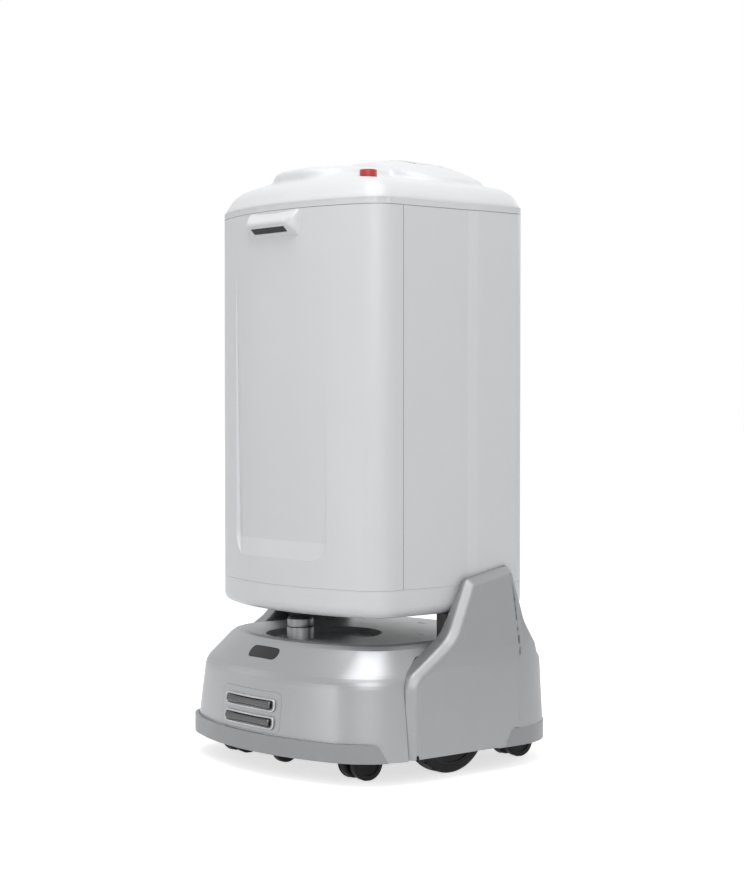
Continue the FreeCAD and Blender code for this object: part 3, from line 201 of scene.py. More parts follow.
# Least part of a normal along an axis: for a face that looks that way, and for one square to it
FACING = 0.9
SQUARE = 0.99
# Within this distance two places count as one
NEAR = 0.001
MERGE = 0.00002


def start_piece(name):
    """The primitive or copy just made, named, with its place in its mesh."""
    piece = bpy.context.active_object
    piece.name = name
    piece.data.name = name
    bpy.ops.object.transform_apply(location=True, rotation=True, scale=True)
    return piece


def start_cylinder(name, sides, radius, depth, centre, turn=(0, 0, 0)):
    """A cylinder to model a piece from."""
    bpy.ops.object.select_all(action="DESELECT")
    bpy.ops.mesh.primitive_cylinder_add(vertices=sides, radius=radius, depth=depth,
                                        location=centre, rotation=turn)
    return start_piece(name)


def take(piece):
    """Makes a piece the only selected one."""
    bpy.ops.object.select_all(action="DESELECT")
    piece.select_set(True)
    bpy.context.view_layer.objects.active = piece


def edit_all():
    """Edit mode with the whole mesh in hand selected."""
    bpy.ops.object.mode_set(mode="EDIT")
    bpy.ops.mesh.select_all(action="SELECT")


def pick_faces(piece, test):
    """Edit mode with only the faces selected whose centre and normal pass the test."""
    bpy.ops.object.mode_set(mode="EDIT")
    bpy.ops.mesh.select_mode(type="FACE")
    bpy.ops.mesh.select_all(action="DESELECT")
    bpy.ops.object.mode_set(mode="OBJECT")
    for face in piece.data.polygons:
        face.select = test(face.center, face.normal)
    bpy.ops.object.mode_set(mode="EDIT")


def pick_edges(piece, test):
    """Edit mode with only the edges selected whose two ends pass the test."""
    bpy.ops.object.mode_set(mode="EDIT")
    bpy.ops.mesh.select_mode(type="EDGE")
    bpy.ops.mesh.select_all(action="DESELECT")
    bpy.ops.object.mode_set(mode="OBJECT")
    points = piece.data.vertices
    for edge in piece.data.edges:
        edge.select = test(points[edge.vertices[0]].co, points[edge.vertices[1]].co)
    bpy.ops.object.mode_set(mode="EDIT")


def slice_all(place, across, **options):
    """Cuts the whole mesh in hand along a plane; leaves it in edit mode."""
    edit_all()
    bpy.ops.mesh.bisect(plane_co=place, plane_no=across, **options)


def step_face(steps, axis):
    """Steps the selected face like a turned profile: each step is an inset and then a rise along the axis."""
    for inset, rise in steps:
        if inset:
            bpy.ops.mesh.inset(thickness=inset, depth=0.0)
        if rise:
            bpy.ops.mesh.extrude_region_move(TRANSFORM_OT_translate={"value": Vector(axis) * rise})


def soften(angle, width, rounds):
    """Rounds the edges of the piece in hand that are sharper than the angle."""
    bpy.ops.object.mode_set(mode="EDIT")
    bpy.ops.mesh.select_mode(type="EDGE")
    bpy.ops.mesh.select_all(action="DESELECT")
    bpy.ops.mesh.edges_select_sharp(sharpness=math.radians(angle))
    bpy.ops.mesh.bevel(offset=width, segments=rounds, affect="EDGES", clamp_overlap=True)
    bpy.ops.object.mode_set(mode="OBJECT")


def face_outwards():
    edit_all()
    bpy.ops.mesh.normals_make_consistent(inside=False)
    bpy.ops.object.mode_set(mode="OBJECT")


def apply_modifier(piece, kind, **settings):
    """Adds a modifier with its settings to the piece in hand, and applies it."""
    modifier = piece.modifiers.new(kind.lower(), kind)
    for setting, value in settings.items():
        setattr(modifier, setting, value)
    bpy.ops.object.modifier_apply(modifier=modifier.name)


def copy_piece(piece, name, shift=(0, 0, 0), turn=0.0):
    """Copy with its own mesh, turned about the upright axis through the origin and then shifted."""
    take(piece)
    bpy.ops.object.duplicate(linked=False)
    other = bpy.context.active_object
    other.rotation_euler = (0, 0, turn)
    other.location = shift
    return start_piece(name)


def copy_node(node, name):
    """Copy of a CAD node as a mesh of its own, with its loose triangles merged."""
    take(frame["nodes"][node])
    bpy.ops.object.duplicate(linked=False)
    piece = bpy.context.active_object
    for key in list(piece.keys()):
        del piece[key]
    piece.parent = None
    piece = start_piece(name)
    edit_all()
    bpy.ops.mesh.remove_doubles(threshold=MERGE)
    bpy.ops.object.mode_set(mode="OBJECT")
    return piece


def finish_piece(piece, body, slot, nodes=(), smooth=35, finish=None):
    """Shades a piece, gives it its finish, ties it to its body and hides the nodes that it stands for."""
    take(piece)
    give_finish(piece, finish or FINISH_OF_SLOT[slot])
    bpy.ops.object.shade_smooth_by_angle(angle=math.radians(smooth))
    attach(piece, body)
    if nodes:
        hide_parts(*nodes)


def node_centre(node):
    low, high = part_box(node)
    return (low + high) / 2


def from_axle(point, centre):
    """Distance of a point from an axle along X through the centre."""
    return math.hypot(point.y - centre.y, point.z - centre.z)


# Drive wheels

TYRE_SIDES = 144
TYRE_DEPTH = 0.017
TYRE_SHOULDER = 0.008
TYRE_TOLERANCE = 0.0005
GROOVES = (-0.008, 0.0, 0.008)
GROOVE_HALF = 0.001
GROOVE_DEPTH = 0.0025
GROOVE_SLOPE = 0.0002
# Cuts across the tyre's shoulders: one in so many sides
SIPE_EVERY = 6
SIPE_LENGTH = 0.008
SIPE_SLOPE = 0.0003
SIPE_TILT = 0.75
SIPE_ABOVE_BORE = 0.004
HUB_SIDES = 96
HUB_PLAY = 0.0003
HUB_SHORTER = 0.001
HUB_OUTER_RINGS = ((0.004, -0.003), (0.020, -0.004), (0.022, 0.005), (0.004, 0.001))
HUB_INNER_RINGS = ((0.006, 0.003), (0.034, -0.003), (0.012, -0.001))


def model_drive_tyre():
    """Left tyre: a ring with round shoulders, three grooves round it and sipes across its shoulders."""
    low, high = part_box("drive_tyre_left")
    centre = (low + high) / 2
    radius = (high.z - low.z) / 2
    tyre = start_cylinder("drive_tyre_tread_left", TYRE_SIDES, radius, high.x - low.x, centre, ALONG_X)
    pick_faces(tyre, lambda place, normal: abs(normal.x) > FACING)
    bpy.ops.mesh.inset(thickness=TYRE_DEPTH, depth=0.0)
    bpy.ops.mesh.delete(type="FACE")
    bore = radius - TYRE_DEPTH / 2
    pick_edges(tyre, lambda a, b: max(from_axle(a, centre), from_axle(b, centre)) < bore)
    bpy.ops.mesh.bridge_edge_loops()
    rim = radius - TYRE_TOLERANCE
    pick_edges(tyre, lambda a, b: min(from_axle(a, centre), from_axle(b, centre)) > rim
               and abs(a.x - b.x) < NEAR)
    bpy.ops.mesh.bevel(offset=TYRE_SHOULDER, segments=6, affect="EDGES")
    for groove in GROOVES:
        for side in (-GROOVE_HALF, GROOVE_HALF):
            slice_all((centre.x + groove + side, 0, 0), (1, 0, 0))

    def is_groove(place, normal):
        return (from_axle(place, centre) > rim - TYRE_TOLERANCE and abs(normal.x) < 0.1
                and any(abs(place.x - centre.x - groove) < GROOVE_HALF for groove in GROOVES))

    pick_faces(tyre, is_groove)
    bpy.ops.mesh.inset(thickness=GROOVE_SLOPE, depth=-GROOVE_DEPTH)
    shoulder = GROOVES[2] + GROOVE_HALF

    def is_sipe(place, normal):
        turn = math.atan2(place.z - centre.z, place.y - centre.y) / math.tau * TYRE_SIDES
        out = abs(place.x - centre.x)
        return (shoulder < out < shoulder + SIPE_LENGTH and abs(normal.x) < SIPE_TILT
                and from_axle(place, centre) > bore + SIPE_ABOVE_BORE
                and math.floor(turn) % SIPE_EVERY == 0)

    pick_faces(tyre, is_sipe)
    bpy.ops.mesh.inset(thickness=SIPE_SLOPE, depth=-GROOVE_DEPTH)
    face_outwards()
    return tyre


def model_drive_hub():
    """Left hub: a dished disc with stepped rings on both faces."""
    low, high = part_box("drive_hub_left")
    centre = (low + high) / 2
    hub = start_cylinder("drive_hub_cover_left", HUB_SIDES, (high.z - low.z) / 2 - HUB_PLAY,
                         high.x - low.x - HUB_SHORTER, centre, ALONG_X)
    pick_faces(hub, lambda place, normal: normal.x > FACING)
    step_face(HUB_OUTER_RINGS, (1, 0, 0))
    pick_faces(hub, lambda place, normal: normal.x < -FACING and from_axle(place, centre) < NEAR)
    step_face(HUB_INNER_RINGS, (1, 0, 0))
    soften(40, 0.0008, 2)
    return hub


drive_tyre = model_drive_tyre()
drive_hub = model_drive_hub()
right_tyre = copy_piece(drive_tyre, "drive_tyre_tread_right", turn=math.pi)
right_hub = copy_piece(drive_hub, "drive_hub_cover_right", turn=math.pi)
for side, tyre, hub in (("left", drive_tyre, drive_hub), ("right", right_tyre, right_hub)):
    finish_piece(tyre, f"drive_wheel_{side}", "tyre", [f"drive_tyre_{side}"])
    finish_piece(hub, f"drive_wheel_{side}", "black_plastic", [f"drive_hub_{side}"])


# Casters

CASTER_SIDES = 72
CASTER_WHEEL_WIDTH = 0.018
CASTER_TREAD_ROUND = 0.005
CASTER_OUTER_RINGS = ((0.005, -0.0015), (0.0015, 0), (0.008, 0.0012),
                      (0.003, -0.0008), (0.006, 0.0016), (0.003, 0.0004))
CASTER_INNER_RINGS = ((0.005, 0.0015), (0.002, 0))


def model_caster_wheels():
    """Front left pair: a wheel with a round tread and ringed covers, and a second one turned round."""
    low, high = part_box("caster_front_left_wheels")
    middle = (low + high) / 2
    centre = Vector((high.x - CASTER_WHEEL_WIDTH / 2, middle.y, middle.z))
    wheel = start_cylinder("caster_front_left_treads", CASTER_SIDES, (high.z - low.z) / 2,
                           CASTER_WHEEL_WIDTH, centre, ALONG_X)
    pick_edges(wheel, lambda a, b: abs(a.x - b.x) < NEAR)
    bpy.ops.mesh.bevel(offset=CASTER_TREAD_ROUND, segments=6, affect="EDGES")
    pick_faces(wheel, lambda place, normal: normal.x > SQUARE)
    step_face(CASTER_OUTER_RINGS, (1, 0, 0))
    pick_faces(wheel, lambda place, normal: normal.x < -SQUARE)
    step_face(CASTER_INNER_RINGS, (1, 0, 0))
    soften(50, 0.0004, 2)
    twin = copy_piece(wheel, "caster_twin", turn=math.pi, shift=(2 * middle.x, 2 * middle.y, 0))
    take(wheel)
    twin.select_set(True)
    bpy.ops.object.join()
    return wheel


caster_pair = model_caster_wheels()
caster_place = node_centre("caster_front_left_wheels")
caster_pairs = {"front_left": caster_pair}
for corner in ("front_right", "rear_left", "rear_right"):
    shift = node_centre(f"caster_{corner}_wheels") - caster_place
    caster_pairs[corner] = copy_piece(caster_pair, f"caster_{corner}_treads", shift=shift)
for corner, pair in caster_pairs.items():
    finish_piece(pair, f"caster_{corner}_wheelset", "tyre", [f"caster_{corner}_wheels"])


# Laser scanner on the deck

SCANNER_SIDES = 96
SCANNER_FOOT = 0.004
SCANNER_SPINDLE = 0.008
DRUM_LEDGE = 0.003
DRUM_TOP = ((0.0015, -0.0008), (0.0165, SCANNER_SPINDLE))
RING_TOP = ((0.0012, -0.0010),)
RING_UNDER = ((0.0015, 0.0010), (0.0150, 0.0080))
CAP_TALL = 0.004
CAP_SMALLER = 0.0015
CAP_DOME = 0.0025
CAP_DISH = ((0.006, -0.0004), (0.001, 0))


def model_scanner_drum():
    """Stepped foot and drum, with a thin rim and the spindle on top."""
    low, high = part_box("lidar_base")
    middle = (low + high) / 2
    drum = start_cylinder("lidar_drum", SCANNER_SIDES, (high.x - low.x) / 2, SCANNER_FOOT,
                          (middle.x, middle.y, low.z + SCANNER_FOOT / 2))
    pick_faces(drum, lambda place, normal: normal.z > FACING)
    wall = high.z - low.z - SCANNER_FOOT - SCANNER_SPINDLE
    step_face(((DRUM_LEDGE, wall), *DRUM_TOP), (0, 0, 1))
    soften(40, 0.0005, 3)
    return drum


def model_scanner_ring():
    """Turning metal ring of the head, with a shallow edge above and a bore for the spindle below."""
    low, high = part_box("lidar_head")
    middle = (low + high) / 2
    tall = high.z - low.z - CAP_TALL
    ring = start_cylinder("lidar_ring", SCANNER_SIDES, (high.x - low.x) / 2, tall,
                          (middle.x, middle.y, low.z + tall / 2))
    pick_faces(ring, lambda place, normal: normal.z > FACING)
    step_face(RING_TOP, (0, 0, 1))
    pick_faces(ring, lambda place, normal: normal.z < -FACING)
    step_face(RING_UNDER, (0, 0, 1))
    soften(40, 0.0004, 3)
    return ring


def model_scanner_cap():
    """Black cap of the head, domed at its edge."""
    low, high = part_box("lidar_head")
    middle = (low + high) / 2
    cap = start_cylinder("lidar_cap", SCANNER_SIDES, (high.x - low.x) / 2 - CAP_SMALLER, CAP_TALL,
                         (middle.x, middle.y, high.z - CAP_TALL / 2))
    pick_edges(cap, lambda a, b: min(a.z, b.z) > high.z - NEAR)
    bpy.ops.mesh.bevel(offset=CAP_DOME, segments=5, affect="EDGES")
    pick_faces(cap, lambda place, normal: normal.z > SQUARE)
    step_face(CAP_DISH, (0, 0, 1))
    soften(60, 0.0002, 2)
    return cap


finish_piece(model_scanner_drum(), "robot", "lidar_metal", ["lidar_base"])
finish_piece(model_scanner_ring(), "lidar_rotor", "lidar_metal", ["lidar_head"])
finish_piece(model_scanner_cap(), "lidar_rotor", "black_plastic")


# Emergency stop

STOP_SIDES = 72
STOP_HEAD = 0.0137
STOP_CROWN = 0.0065
STOP_DISH = ((0.003, -0.0004), (0.004, -0.0003))
STOP_STEM_INSET = 0.0085


def model_stop_button():
    """Round red head with a soft crown and a shallow dish, on its stem."""
    low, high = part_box("estop_head")
    middle = (low + high) / 2
    button = start_cylinder("estop_button", STOP_SIDES, (high.x - low.x) / 2, STOP_HEAD,
                            (middle.x, middle.y, high.z - STOP_HEAD / 2))
    pick_edges(button, lambda a, b: min(a.z, b.z) > high.z - NEAR)
    bpy.ops.mesh.bevel(offset=STOP_CROWN, segments=8, affect="EDGES")
    pick_faces(button, lambda place, normal: normal.z > SQUARE)
    step_face(STOP_DISH, (0, 0, 1))
    pick_faces(button, lambda place, normal: normal.z < -FACING)
    step_face(((STOP_STEM_INSET, low.z - high.z + STOP_HEAD),), (0, 0, 1))
    soften(60, 0.0003, 2)
    return button


finish_piece(model_stop_button(), "estop", "stop_red", ["estop_head"])


# Dark strips in the seams of the cabinet: painted shade that stands in for the shadow in the seam gaps

# Width and proudness of the dark seam strips, which paint the shade of the seam gaps
SEAM_SHADE_WIDTH = 0.0006
SEAM_SHADE_PROUD = 0.00012


def model_seam_shade_strip(node, name, cut):
    """Strip of a panel's own edge, cut off by a plane and set out by a hair: a dark band of painted seam
    shade.
    """
    strip = copy_node(node, name)
    slice_all(*cut, clear_outer=True, use_fill=True)
    edit_all()
    bpy.ops.transform.shrink_fatten(value=SEAM_SHADE_PROUD)
    bpy.ops.object.mode_set(mode="OBJECT")
    return strip


panel_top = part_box("cabinet_left_panel")[1].z
split_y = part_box("cabinet_left_panel")[0].y
under_cap = ((0, 0, panel_top - SEAM_SHADE_WIDTH), (0, 0, -1))
by_split = ((0, split_y + SEAM_SHADE_WIDTH, 0), (0, 1, 0))
seam_shade_strips = [model_seam_shade_strip("cabinet_front_shell", "seam_shade_front_top", under_cap)]
for side in ("left", "right"):
    panel = f"cabinet_{side}_panel"
    seam_shade_strips.append(model_seam_shade_strip(panel, f"gasket_{side}_top", under_cap))
    seam_shade_strips.append(model_seam_shade_strip(panel, f"gasket_{side}_panel", by_split))
# The seam strips are painted shade: dark grey where the seams only hold shadow
for seam_shade in seam_shade_strips:
    finish_piece(seam_shade, "robot", "stop_collar", finish=SEAM_SHADE_FINISH)


# Moulded covers

COVER_VOXEL = 0.003


def cut_from(node, name, planes):
    """A copy of the part of a node that lies behind all the planes."""
    part = copy_node(node, name)
    for place, outwards in planes:
        slice_all(place, outwards, clear_outer=True)
    bpy.ops.object.mode_set(mode="OBJECT")
    return part


def rebuild_even(form, voxel):
    """Rebuilds a closed form in small even faces."""
    apply_modifier(form, "REMESH", mode="VOXEL", voxel_size=voxel)


def close_behind():
    """Closes the open back of the skin in hand."""
    bpy.ops.mesh.select_mode(type="EDGE")
    bpy.ops.mesh.select_all(action="DESELECT")
    bpy.ops.mesh.select_non_manifold()
    bpy.ops.mesh.fill()
    bpy.ops.object.mode_set(mode="OBJECT")
    face_outwards()


def mark_soft(form, test):
    """Marks the faces of a moulding that smooth_soft works on."""
    pick_faces(form, test)
    form.vertex_groups.new(name="soft")
    bpy.ops.object.vertex_group_assign()
    bpy.ops.object.mode_set(mode="OBJECT")


def smooth_soft(form, rounds):
    """Smooths the marked part of a moulding."""
    bpy.ops.object.mode_set(mode="OBJECT")
    apply_modifier(form, "SMOOTH", factor=0.5, iterations=rounds, vertex_group="soft")


# Ways out of an arm, as outwards, along and up: none leads to the open inner side
OPEN_WAYS = [(0, 0, 1), (0, -1, 0.02), (0, 1, 0.02)]
OPEN_WAYS += [(1, along, up) for along in (-2.0, -0.7, 0.0, 0.7, 2.0) for up in (0.02, 0.6, 2.0)]
RAY_LIFT = 0.0003
RAY_TILT = 0.1
# An arm cover stays crisp behind this plane: the overlap of its two parts there, how far past it
# the front part is made before it is cut, and where its smoothing ends
HEEL_Y = 0.140
HEEL_OVERLAP = 0.005
HEEL_SPARE = 0.020
HEEL_CALM = 0.008
ARM_FOOT_Z = 0.052
ARM_ROUNDS = 6
# Recess for the rear bumper's front end, drawn close to it
RECESS_Y = 0.08
RECESS_Z = 0.100
RECESS_CALM_Z = 0.098
RECESS_CLOSER = 0.0014


def is_arm_outside(form, place, normal):
    """True if a face of the arm cover can be seen from some way out."""
    for out, along, up in OPEN_WAYS:
        way = Vector((math.copysign(out, place.x), along, up)).normalized()
        if way.dot(normal) > RAY_TILT and not form.ray_cast(place + normal * RAY_LIFT, way)[0]:
            return True
    return False


def is_arm_soft(place, normal):
    """True off the arm's foot, its rear end and the bumper's recess."""
    return (place.z > ARM_FOOT_Z and place.y < HEEL_Y - HEEL_CALM
            and not (place.z < RECESS_CALM_Z and place.y > RECESS_Y))


def is_recess(place, normal):
    """True for the faces that look at the end of the rear bumper."""
    return place.z < RECESS_Z and place.y > RECESS_Y and (normal.z < -0.3 or normal.y > 0.6)


def model_arm(side):
    """Front part of an arm cover as a moulding with soft edges."""
    arm = copy_node(f"arm_cover_{side}", f"arm_moulding_{side}")
    bpy.context.view_layer.update()
    pick_faces(arm, lambda place, normal: not is_arm_outside(arm, place, normal))
    bpy.ops.mesh.delete(type="FACE")
    slice_all((0, HEEL_Y + HEEL_SPARE, 0), (0, 1, 0), clear_outer=True)
    close_behind()
    rebuild_even(arm, COVER_VOXEL)
    mark_soft(arm, is_arm_soft)
    smooth_soft(arm, ARM_ROUNDS)
    pick_faces(arm, is_recess)
    bpy.ops.transform.shrink_fatten(value=RECESS_CLOSER)
    slice_all((0, HEEL_Y, 0), (0, 1, 0), clear_outer=True)
    bpy.ops.object.mode_set(mode="OBJECT")
    return arm


for side in ("left", "right"):
    node = f"arm_cover_{side}"
    heel = cut_from(node, f"arm_heel_{side}", [((0, HEEL_Y - HEEL_OVERLAP, 0), (0, -1, 0))])
    arm = model_arm(side)
    # The arm covers take the darker silver, painted shade on their sides
    finish_piece(heel, "robot", "base_silver", finish=ARM_SHADED_FINISH)
    finish_piece(arm, "robot", "base_silver", [node], smooth=70, finish=ARM_SHADED_FINISH)


screen_low, screen_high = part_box("display_glass")
stop_place = node_centre("estop_head")
# The cap's rim below this height is a crisp copy, and the moulding is drawn in behind it
CAP_RIM_Z = 1.118
CAP_RIM_OVERLAP = 0.005
CAP_RIM_IN = 0.0010
CAP_TOP_BAND = 0.002
CRISP_MARGIN = 0.030
CAP_FIRST_ROUNDS = 5
CAP_MORE_ROUNDS = 40
# Round the display the moulding is sunk and then opened, and a crisp copy lies over it
SEAT_Z = 1.150
SEAT_EDGE = Vector((0.026, 0.026, 0))
SINK_MARGIN = 0.025
SINK = 0.0015
OPENING_MARGIN = 0.018
OPENING_Z = 1.152


def by_screen(place, margin):
    """True over or under the display's outline widened by the margin."""
    return (screen_low.x - margin < place.x < screen_high.x + margin
            and screen_low.y - margin < place.y < screen_high.y + margin)


def stays_crisp(place):
    """True round the display and round the stop button's seat."""
    return by_screen(place, CRISP_MARGIN) or (place.xy - stop_place.xy).length < CRISP_MARGIN


def model_cap():
    """Top cap as a moulding: its outer surface with the raised forms run softly into it."""
    cap = copy_node("top_cap", "top_moulding")
    top = max(vertex.co.z for vertex in cap.data.vertices)
    pick_faces(cap, lambda place, normal: place.z > top - CAP_TOP_BAND)
    bpy.ops.mesh.select_linked()
    bpy.ops.mesh.select_all(action="INVERT")
    bpy.ops.mesh.delete(type="FACE")
    bpy.ops.object.mode_set(mode="OBJECT")
    rebuild_even(cap, COVER_VOXEL)
    mark_soft(cap, lambda place, normal: not stays_crisp(place))
    smooth_soft(cap, CAP_FIRST_ROUNDS)
    pick_faces(cap, lambda place, normal: place.z < CAP_RIM_Z - CAP_RIM_OVERLAP)
    bpy.ops.transform.shrink_fatten(value=-CAP_RIM_IN)
    smooth_soft(cap, CAP_MORE_ROUNDS)
    pick_faces(cap, lambda place, normal: by_screen(place, SINK_MARGIN) and place.z > SEAT_Z
               and normal.z > 0.1)
    bpy.ops.transform.shrink_fatten(value=-SINK)
    pick_faces(cap, lambda place, normal: by_screen(place, OPENING_MARGIN) and place.z > OPENING_Z)
    bpy.ops.mesh.delete(type="FACE")
    bpy.ops.object.mode_set(mode="OBJECT")
    return cap


cap_rim = cut_from("top_cap", "top_moulding_rim", [((0, 0, CAP_RIM_Z), (0, 0, 1))])
screen_seat = cut_from("top_cap", "top_moulding_seat",
                       [(screen_low - SEAT_EDGE, (-1, 0, 0)), (screen_low - SEAT_EDGE, (0, -1, 0)),
                        (screen_high + SEAT_EDGE, (1, 0, 0)), (screen_high + SEAT_EDGE, (0, 1, 0)),
                        ((0, 0, SEAT_Z), (0, 0, -1))])
cap = model_cap()
finish_piece(cap_rim, "robot", "cabinet_white")
finish_piece(screen_seat, "robot", "cabinet_white")
finish_piece(cap, "robot", "cabinet_white", ["top_cap"], smooth=70)


# Camera visor

VISOR_HALF = 0.080
VISOR_TIP_Y = -0.259
VISOR_ROOT_Y = -0.228
VISOR_TOP_Z = 1.112
VISOR_LOW_Z = 1.0440
VISOR_NOSE_Z = 1.0785
VISOR_NOSE = 0.007
VISOR_END = 0.027
VISOR_SOFT = 0.0060
VISOR_VOXEL = 0.001
VISOR_LIP_Y = -0.2425
VISOR_ROUNDS = 93
GLASS_HALF = 0.0570
GLASS_MARGIN = 0.0026
GLASS_CORNER = 0.0052
GLASS_SET = 0.0026
GLASS_LIFT = 0.0014
GLASS_THICK = 0.0005
# Within this height over the glass the visor isn't smoothed
GLASS_CALM = 0.004


def model_visor():
    """Soft visor: a wedge with round ends, and a set-in place for the glass in its lower slope."""
    bpy.ops.object.select_all(action="DESELECT")
    middle = Vector((0, (VISOR_TIP_Y + VISOR_ROOT_Y) / 2, (VISOR_TOP_Z + VISOR_LOW_Z) / 2))
    tall = VISOR_TOP_Z - VISOR_LOW_Z
    bpy.ops.mesh.primitive_cube_add(size=1.0, location=middle)
    bpy.context.active_object.scale = (VISOR_HALF * 2, VISOR_ROOT_Y - VISOR_TIP_Y, tall)
    visor = start_piece("camera_visor")
    pick_faces(visor, lambda place, normal: normal.y < -FACING)
    bpy.ops.transform.resize(value=(1, 1, VISOR_NOSE / tall), center_override=(0, VISOR_TIP_Y, middle.z))
    bpy.ops.transform.translate(value=(0, 0, VISOR_NOSE_Z - middle.z))
    pick_edges(visor, lambda a, b: abs(a.x - b.x) < NEAR and max(a.y, b.y) < VISOR_TIP_Y + NEAR)
    bpy.ops.mesh.bevel(offset=VISOR_END, segments=8, affect="EDGES", clamp_overlap=True)
    soften(25, VISOR_SOFT, 4)
    slice_all((0, VISOR_LIP_Y, 0), (0, 1, 0))
    slice_all((GLASS_HALF, 0, 0), (1, 0, 0))
    slice_all((-GLASS_HALF, 0, 0), (1, 0, 0))
    slope = Vector((0, VISOR_NOSE_Z - VISOR_NOSE / 2 - VISOR_LOW_Z, VISOR_ROOT_Y - VISOR_TIP_Y))
    slope.normalize()
    pick_faces(visor, lambda place, normal: normal.dot(-slope) > 0.999 and place.y < VISOR_LIP_Y
               and abs(place.x) < GLASS_HALF)
    bpy.ops.mesh.inset(thickness=GLASS_MARGIN, depth=0.0)
    bpy.ops.object.mode_set(mode="OBJECT")
    glass_place = [face.center.copy() for face in visor.data.polygons if face.select][0]
    bpy.ops.object.mode_set(mode="EDIT")
    bpy.ops.mesh.bevel(offset=GLASS_CORNER, segments=4, affect="VERTICES", clamp_overlap=True)
    pick_faces(visor, lambda place, normal: (place - glass_place).length < NEAR)
    bpy.ops.mesh.extrude_region_move(TRANSFORM_OT_translate={"value": slope * GLASS_SET})
    bpy.ops.mesh.duplicate()
    bpy.ops.transform.translate(value=-slope * GLASS_LIFT)
    bpy.ops.mesh.separate(type="SELECTED")
    bpy.ops.object.mode_set(mode="OBJECT")
    glass = [piece for piece in bpy.context.selected_objects if piece != visor][0]
    take(glass)
    glass = start_piece("camera_glass")
    apply_modifier(glass, "SOLIDIFY", thickness=GLASS_THICK)
    take(visor)
    rebuild_even(visor, VISOR_VOXEL)
    mark_soft(visor, lambda place, normal: abs(place.x) > GLASS_HALF
              or (place - glass_place).dot(slope) < -GLASS_CALM)
    smooth_soft(visor, VISOR_ROUNDS)
    return visor, glass


visor, visor_glass = model_visor()
finish_piece(visor, "robot", "cabinet_white", ["camera_hood"], smooth=60)
finish_piece(visor_glass, "robot", "dark_window", ["camera_window"], finish=CAMERA_FINISH)


# Frames round the charging contacts

CONTACT_LEVELS = (0.105, 0.139)
FRAME_HALF_LENGTH = 0.0805
FRAME_HALF_HEIGHT = 0.0130
FRAME_CORNER = FRAME_HALF_HEIGHT * 0.7
FRAME_WIDTH = 0.0042
FRAME_RISE = 0.0038
FRAME_ROUND = 0.0014
# The frame starts so far before the panel, with cuts across it so that it can bow
FRAME_START = 0.03
FRAME_CUTS = 12
FRAME_CUT_STEP = 0.0055


def model_contact_frame(level, name):
    """Raised rim with round ends that follows the bow of the panel."""
    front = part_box("charge_panel")[0].y
    bpy.ops.object.select_all(action="DESELECT")
    bpy.ops.mesh.primitive_plane_add(size=2.0, location=(0, front - FRAME_START, level),
                                     rotation=(math.pi / 2, 0, 0))
    bpy.context.active_object.scale = (FRAME_HALF_LENGTH, FRAME_HALF_HEIGHT, 1)
    rim = start_piece(name)
    edit_all()
    bpy.ops.mesh.bevel(offset=FRAME_CORNER, segments=8, affect="VERTICES")
    bpy.ops.mesh.select_all(action="SELECT")
    bpy.ops.mesh.inset(thickness=FRAME_WIDTH, depth=0.0)
    bpy.ops.mesh.delete(type="FACE")
    for step in range(-FRAME_CUTS, FRAME_CUTS + 1):
        slice_all((step * FRAME_CUT_STEP, 0, 0), (1, 0, 0))
    bpy.ops.object.mode_set(mode="OBJECT")
    apply_modifier(rim, "SHRINKWRAP", target=frame["nodes"]["charge_panel"], wrap_method="PROJECT",
                   use_project_y=True, use_negative_direction=True)
    edit_all()
    bpy.ops.mesh.extrude_region_move(TRANSFORM_OT_translate={"value": (0, -FRAME_RISE, 0)})
    bpy.ops.object.mode_set(mode="OBJECT")
    face_outwards()
    soften(50, FRAME_ROUND, 4)
    return rim


for index, level in enumerate(CONTACT_LEVELS):
    finish_piece(model_contact_frame(level, f"contact_frame_{index + 1}"), "robot", "base_silver",
                 smooth=50, finish=RIM_FINISH)


# Display rim, tray mats and screws at the back

DISPLAY_RIM = 0.0020
DISPLAY_RIM_LOWER = 0.0024


def model_display_rim():
    """Thin black rim round the glass, a hair lower than it."""
    rim = copy_node("display_glass", "display_rim")
    edit_all()
    bpy.ops.transform.shrink_fatten(value=DISPLAY_RIM, use_even_offset=True)
    bpy.ops.transform.translate(value=(0, 0, -DISPLAY_RIM_LOWER))
    bpy.ops.object.mode_set(mode="OBJECT")
    return rim


finish_piece(model_display_rim(), "robot", "case_black")


MAT_MARGIN = 0.010
MAT_FLOOR = 0.004
MAT_LIFT = 0.0012
MAT_THICK = 0.001
MAT_RIBS = 61
MAT_RIB_RISE = 0.0009


def model_tray_mat():
    """Ribbed mat on the lowest tray's floor."""
    low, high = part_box("tray_1")
    middle = (low + high) / 2
    width = high.x - low.x - 2 * MAT_MARGIN
    length = high.y - low.y - 2 * MAT_MARGIN
    bpy.ops.object.select_all(action="DESELECT")
    bpy.ops.mesh.primitive_grid_add(x_subdivisions=MAT_RIBS, y_subdivisions=1, size=1.0,
                                    location=(middle.x, middle.y, low.z + MAT_FLOOR + MAT_LIFT))
    bpy.context.active_object.scale = (width, length, 1)
    mat = start_piece("tray_1_mat")
    pitch = width / MAT_RIBS
    start = middle.x - width / 2
    pick_faces(mat, lambda place, normal: math.floor((place.x - start) / pitch) % 2 == 1)
    bpy.ops.mesh.inset(thickness=MAT_RIB_RISE, depth=MAT_RIB_RISE)
    bpy.ops.object.mode_set(mode="OBJECT")
    apply_modifier(mat, "SOLIDIFY", thickness=MAT_THICK, offset=-1.0)
    face_outwards()
    return mat


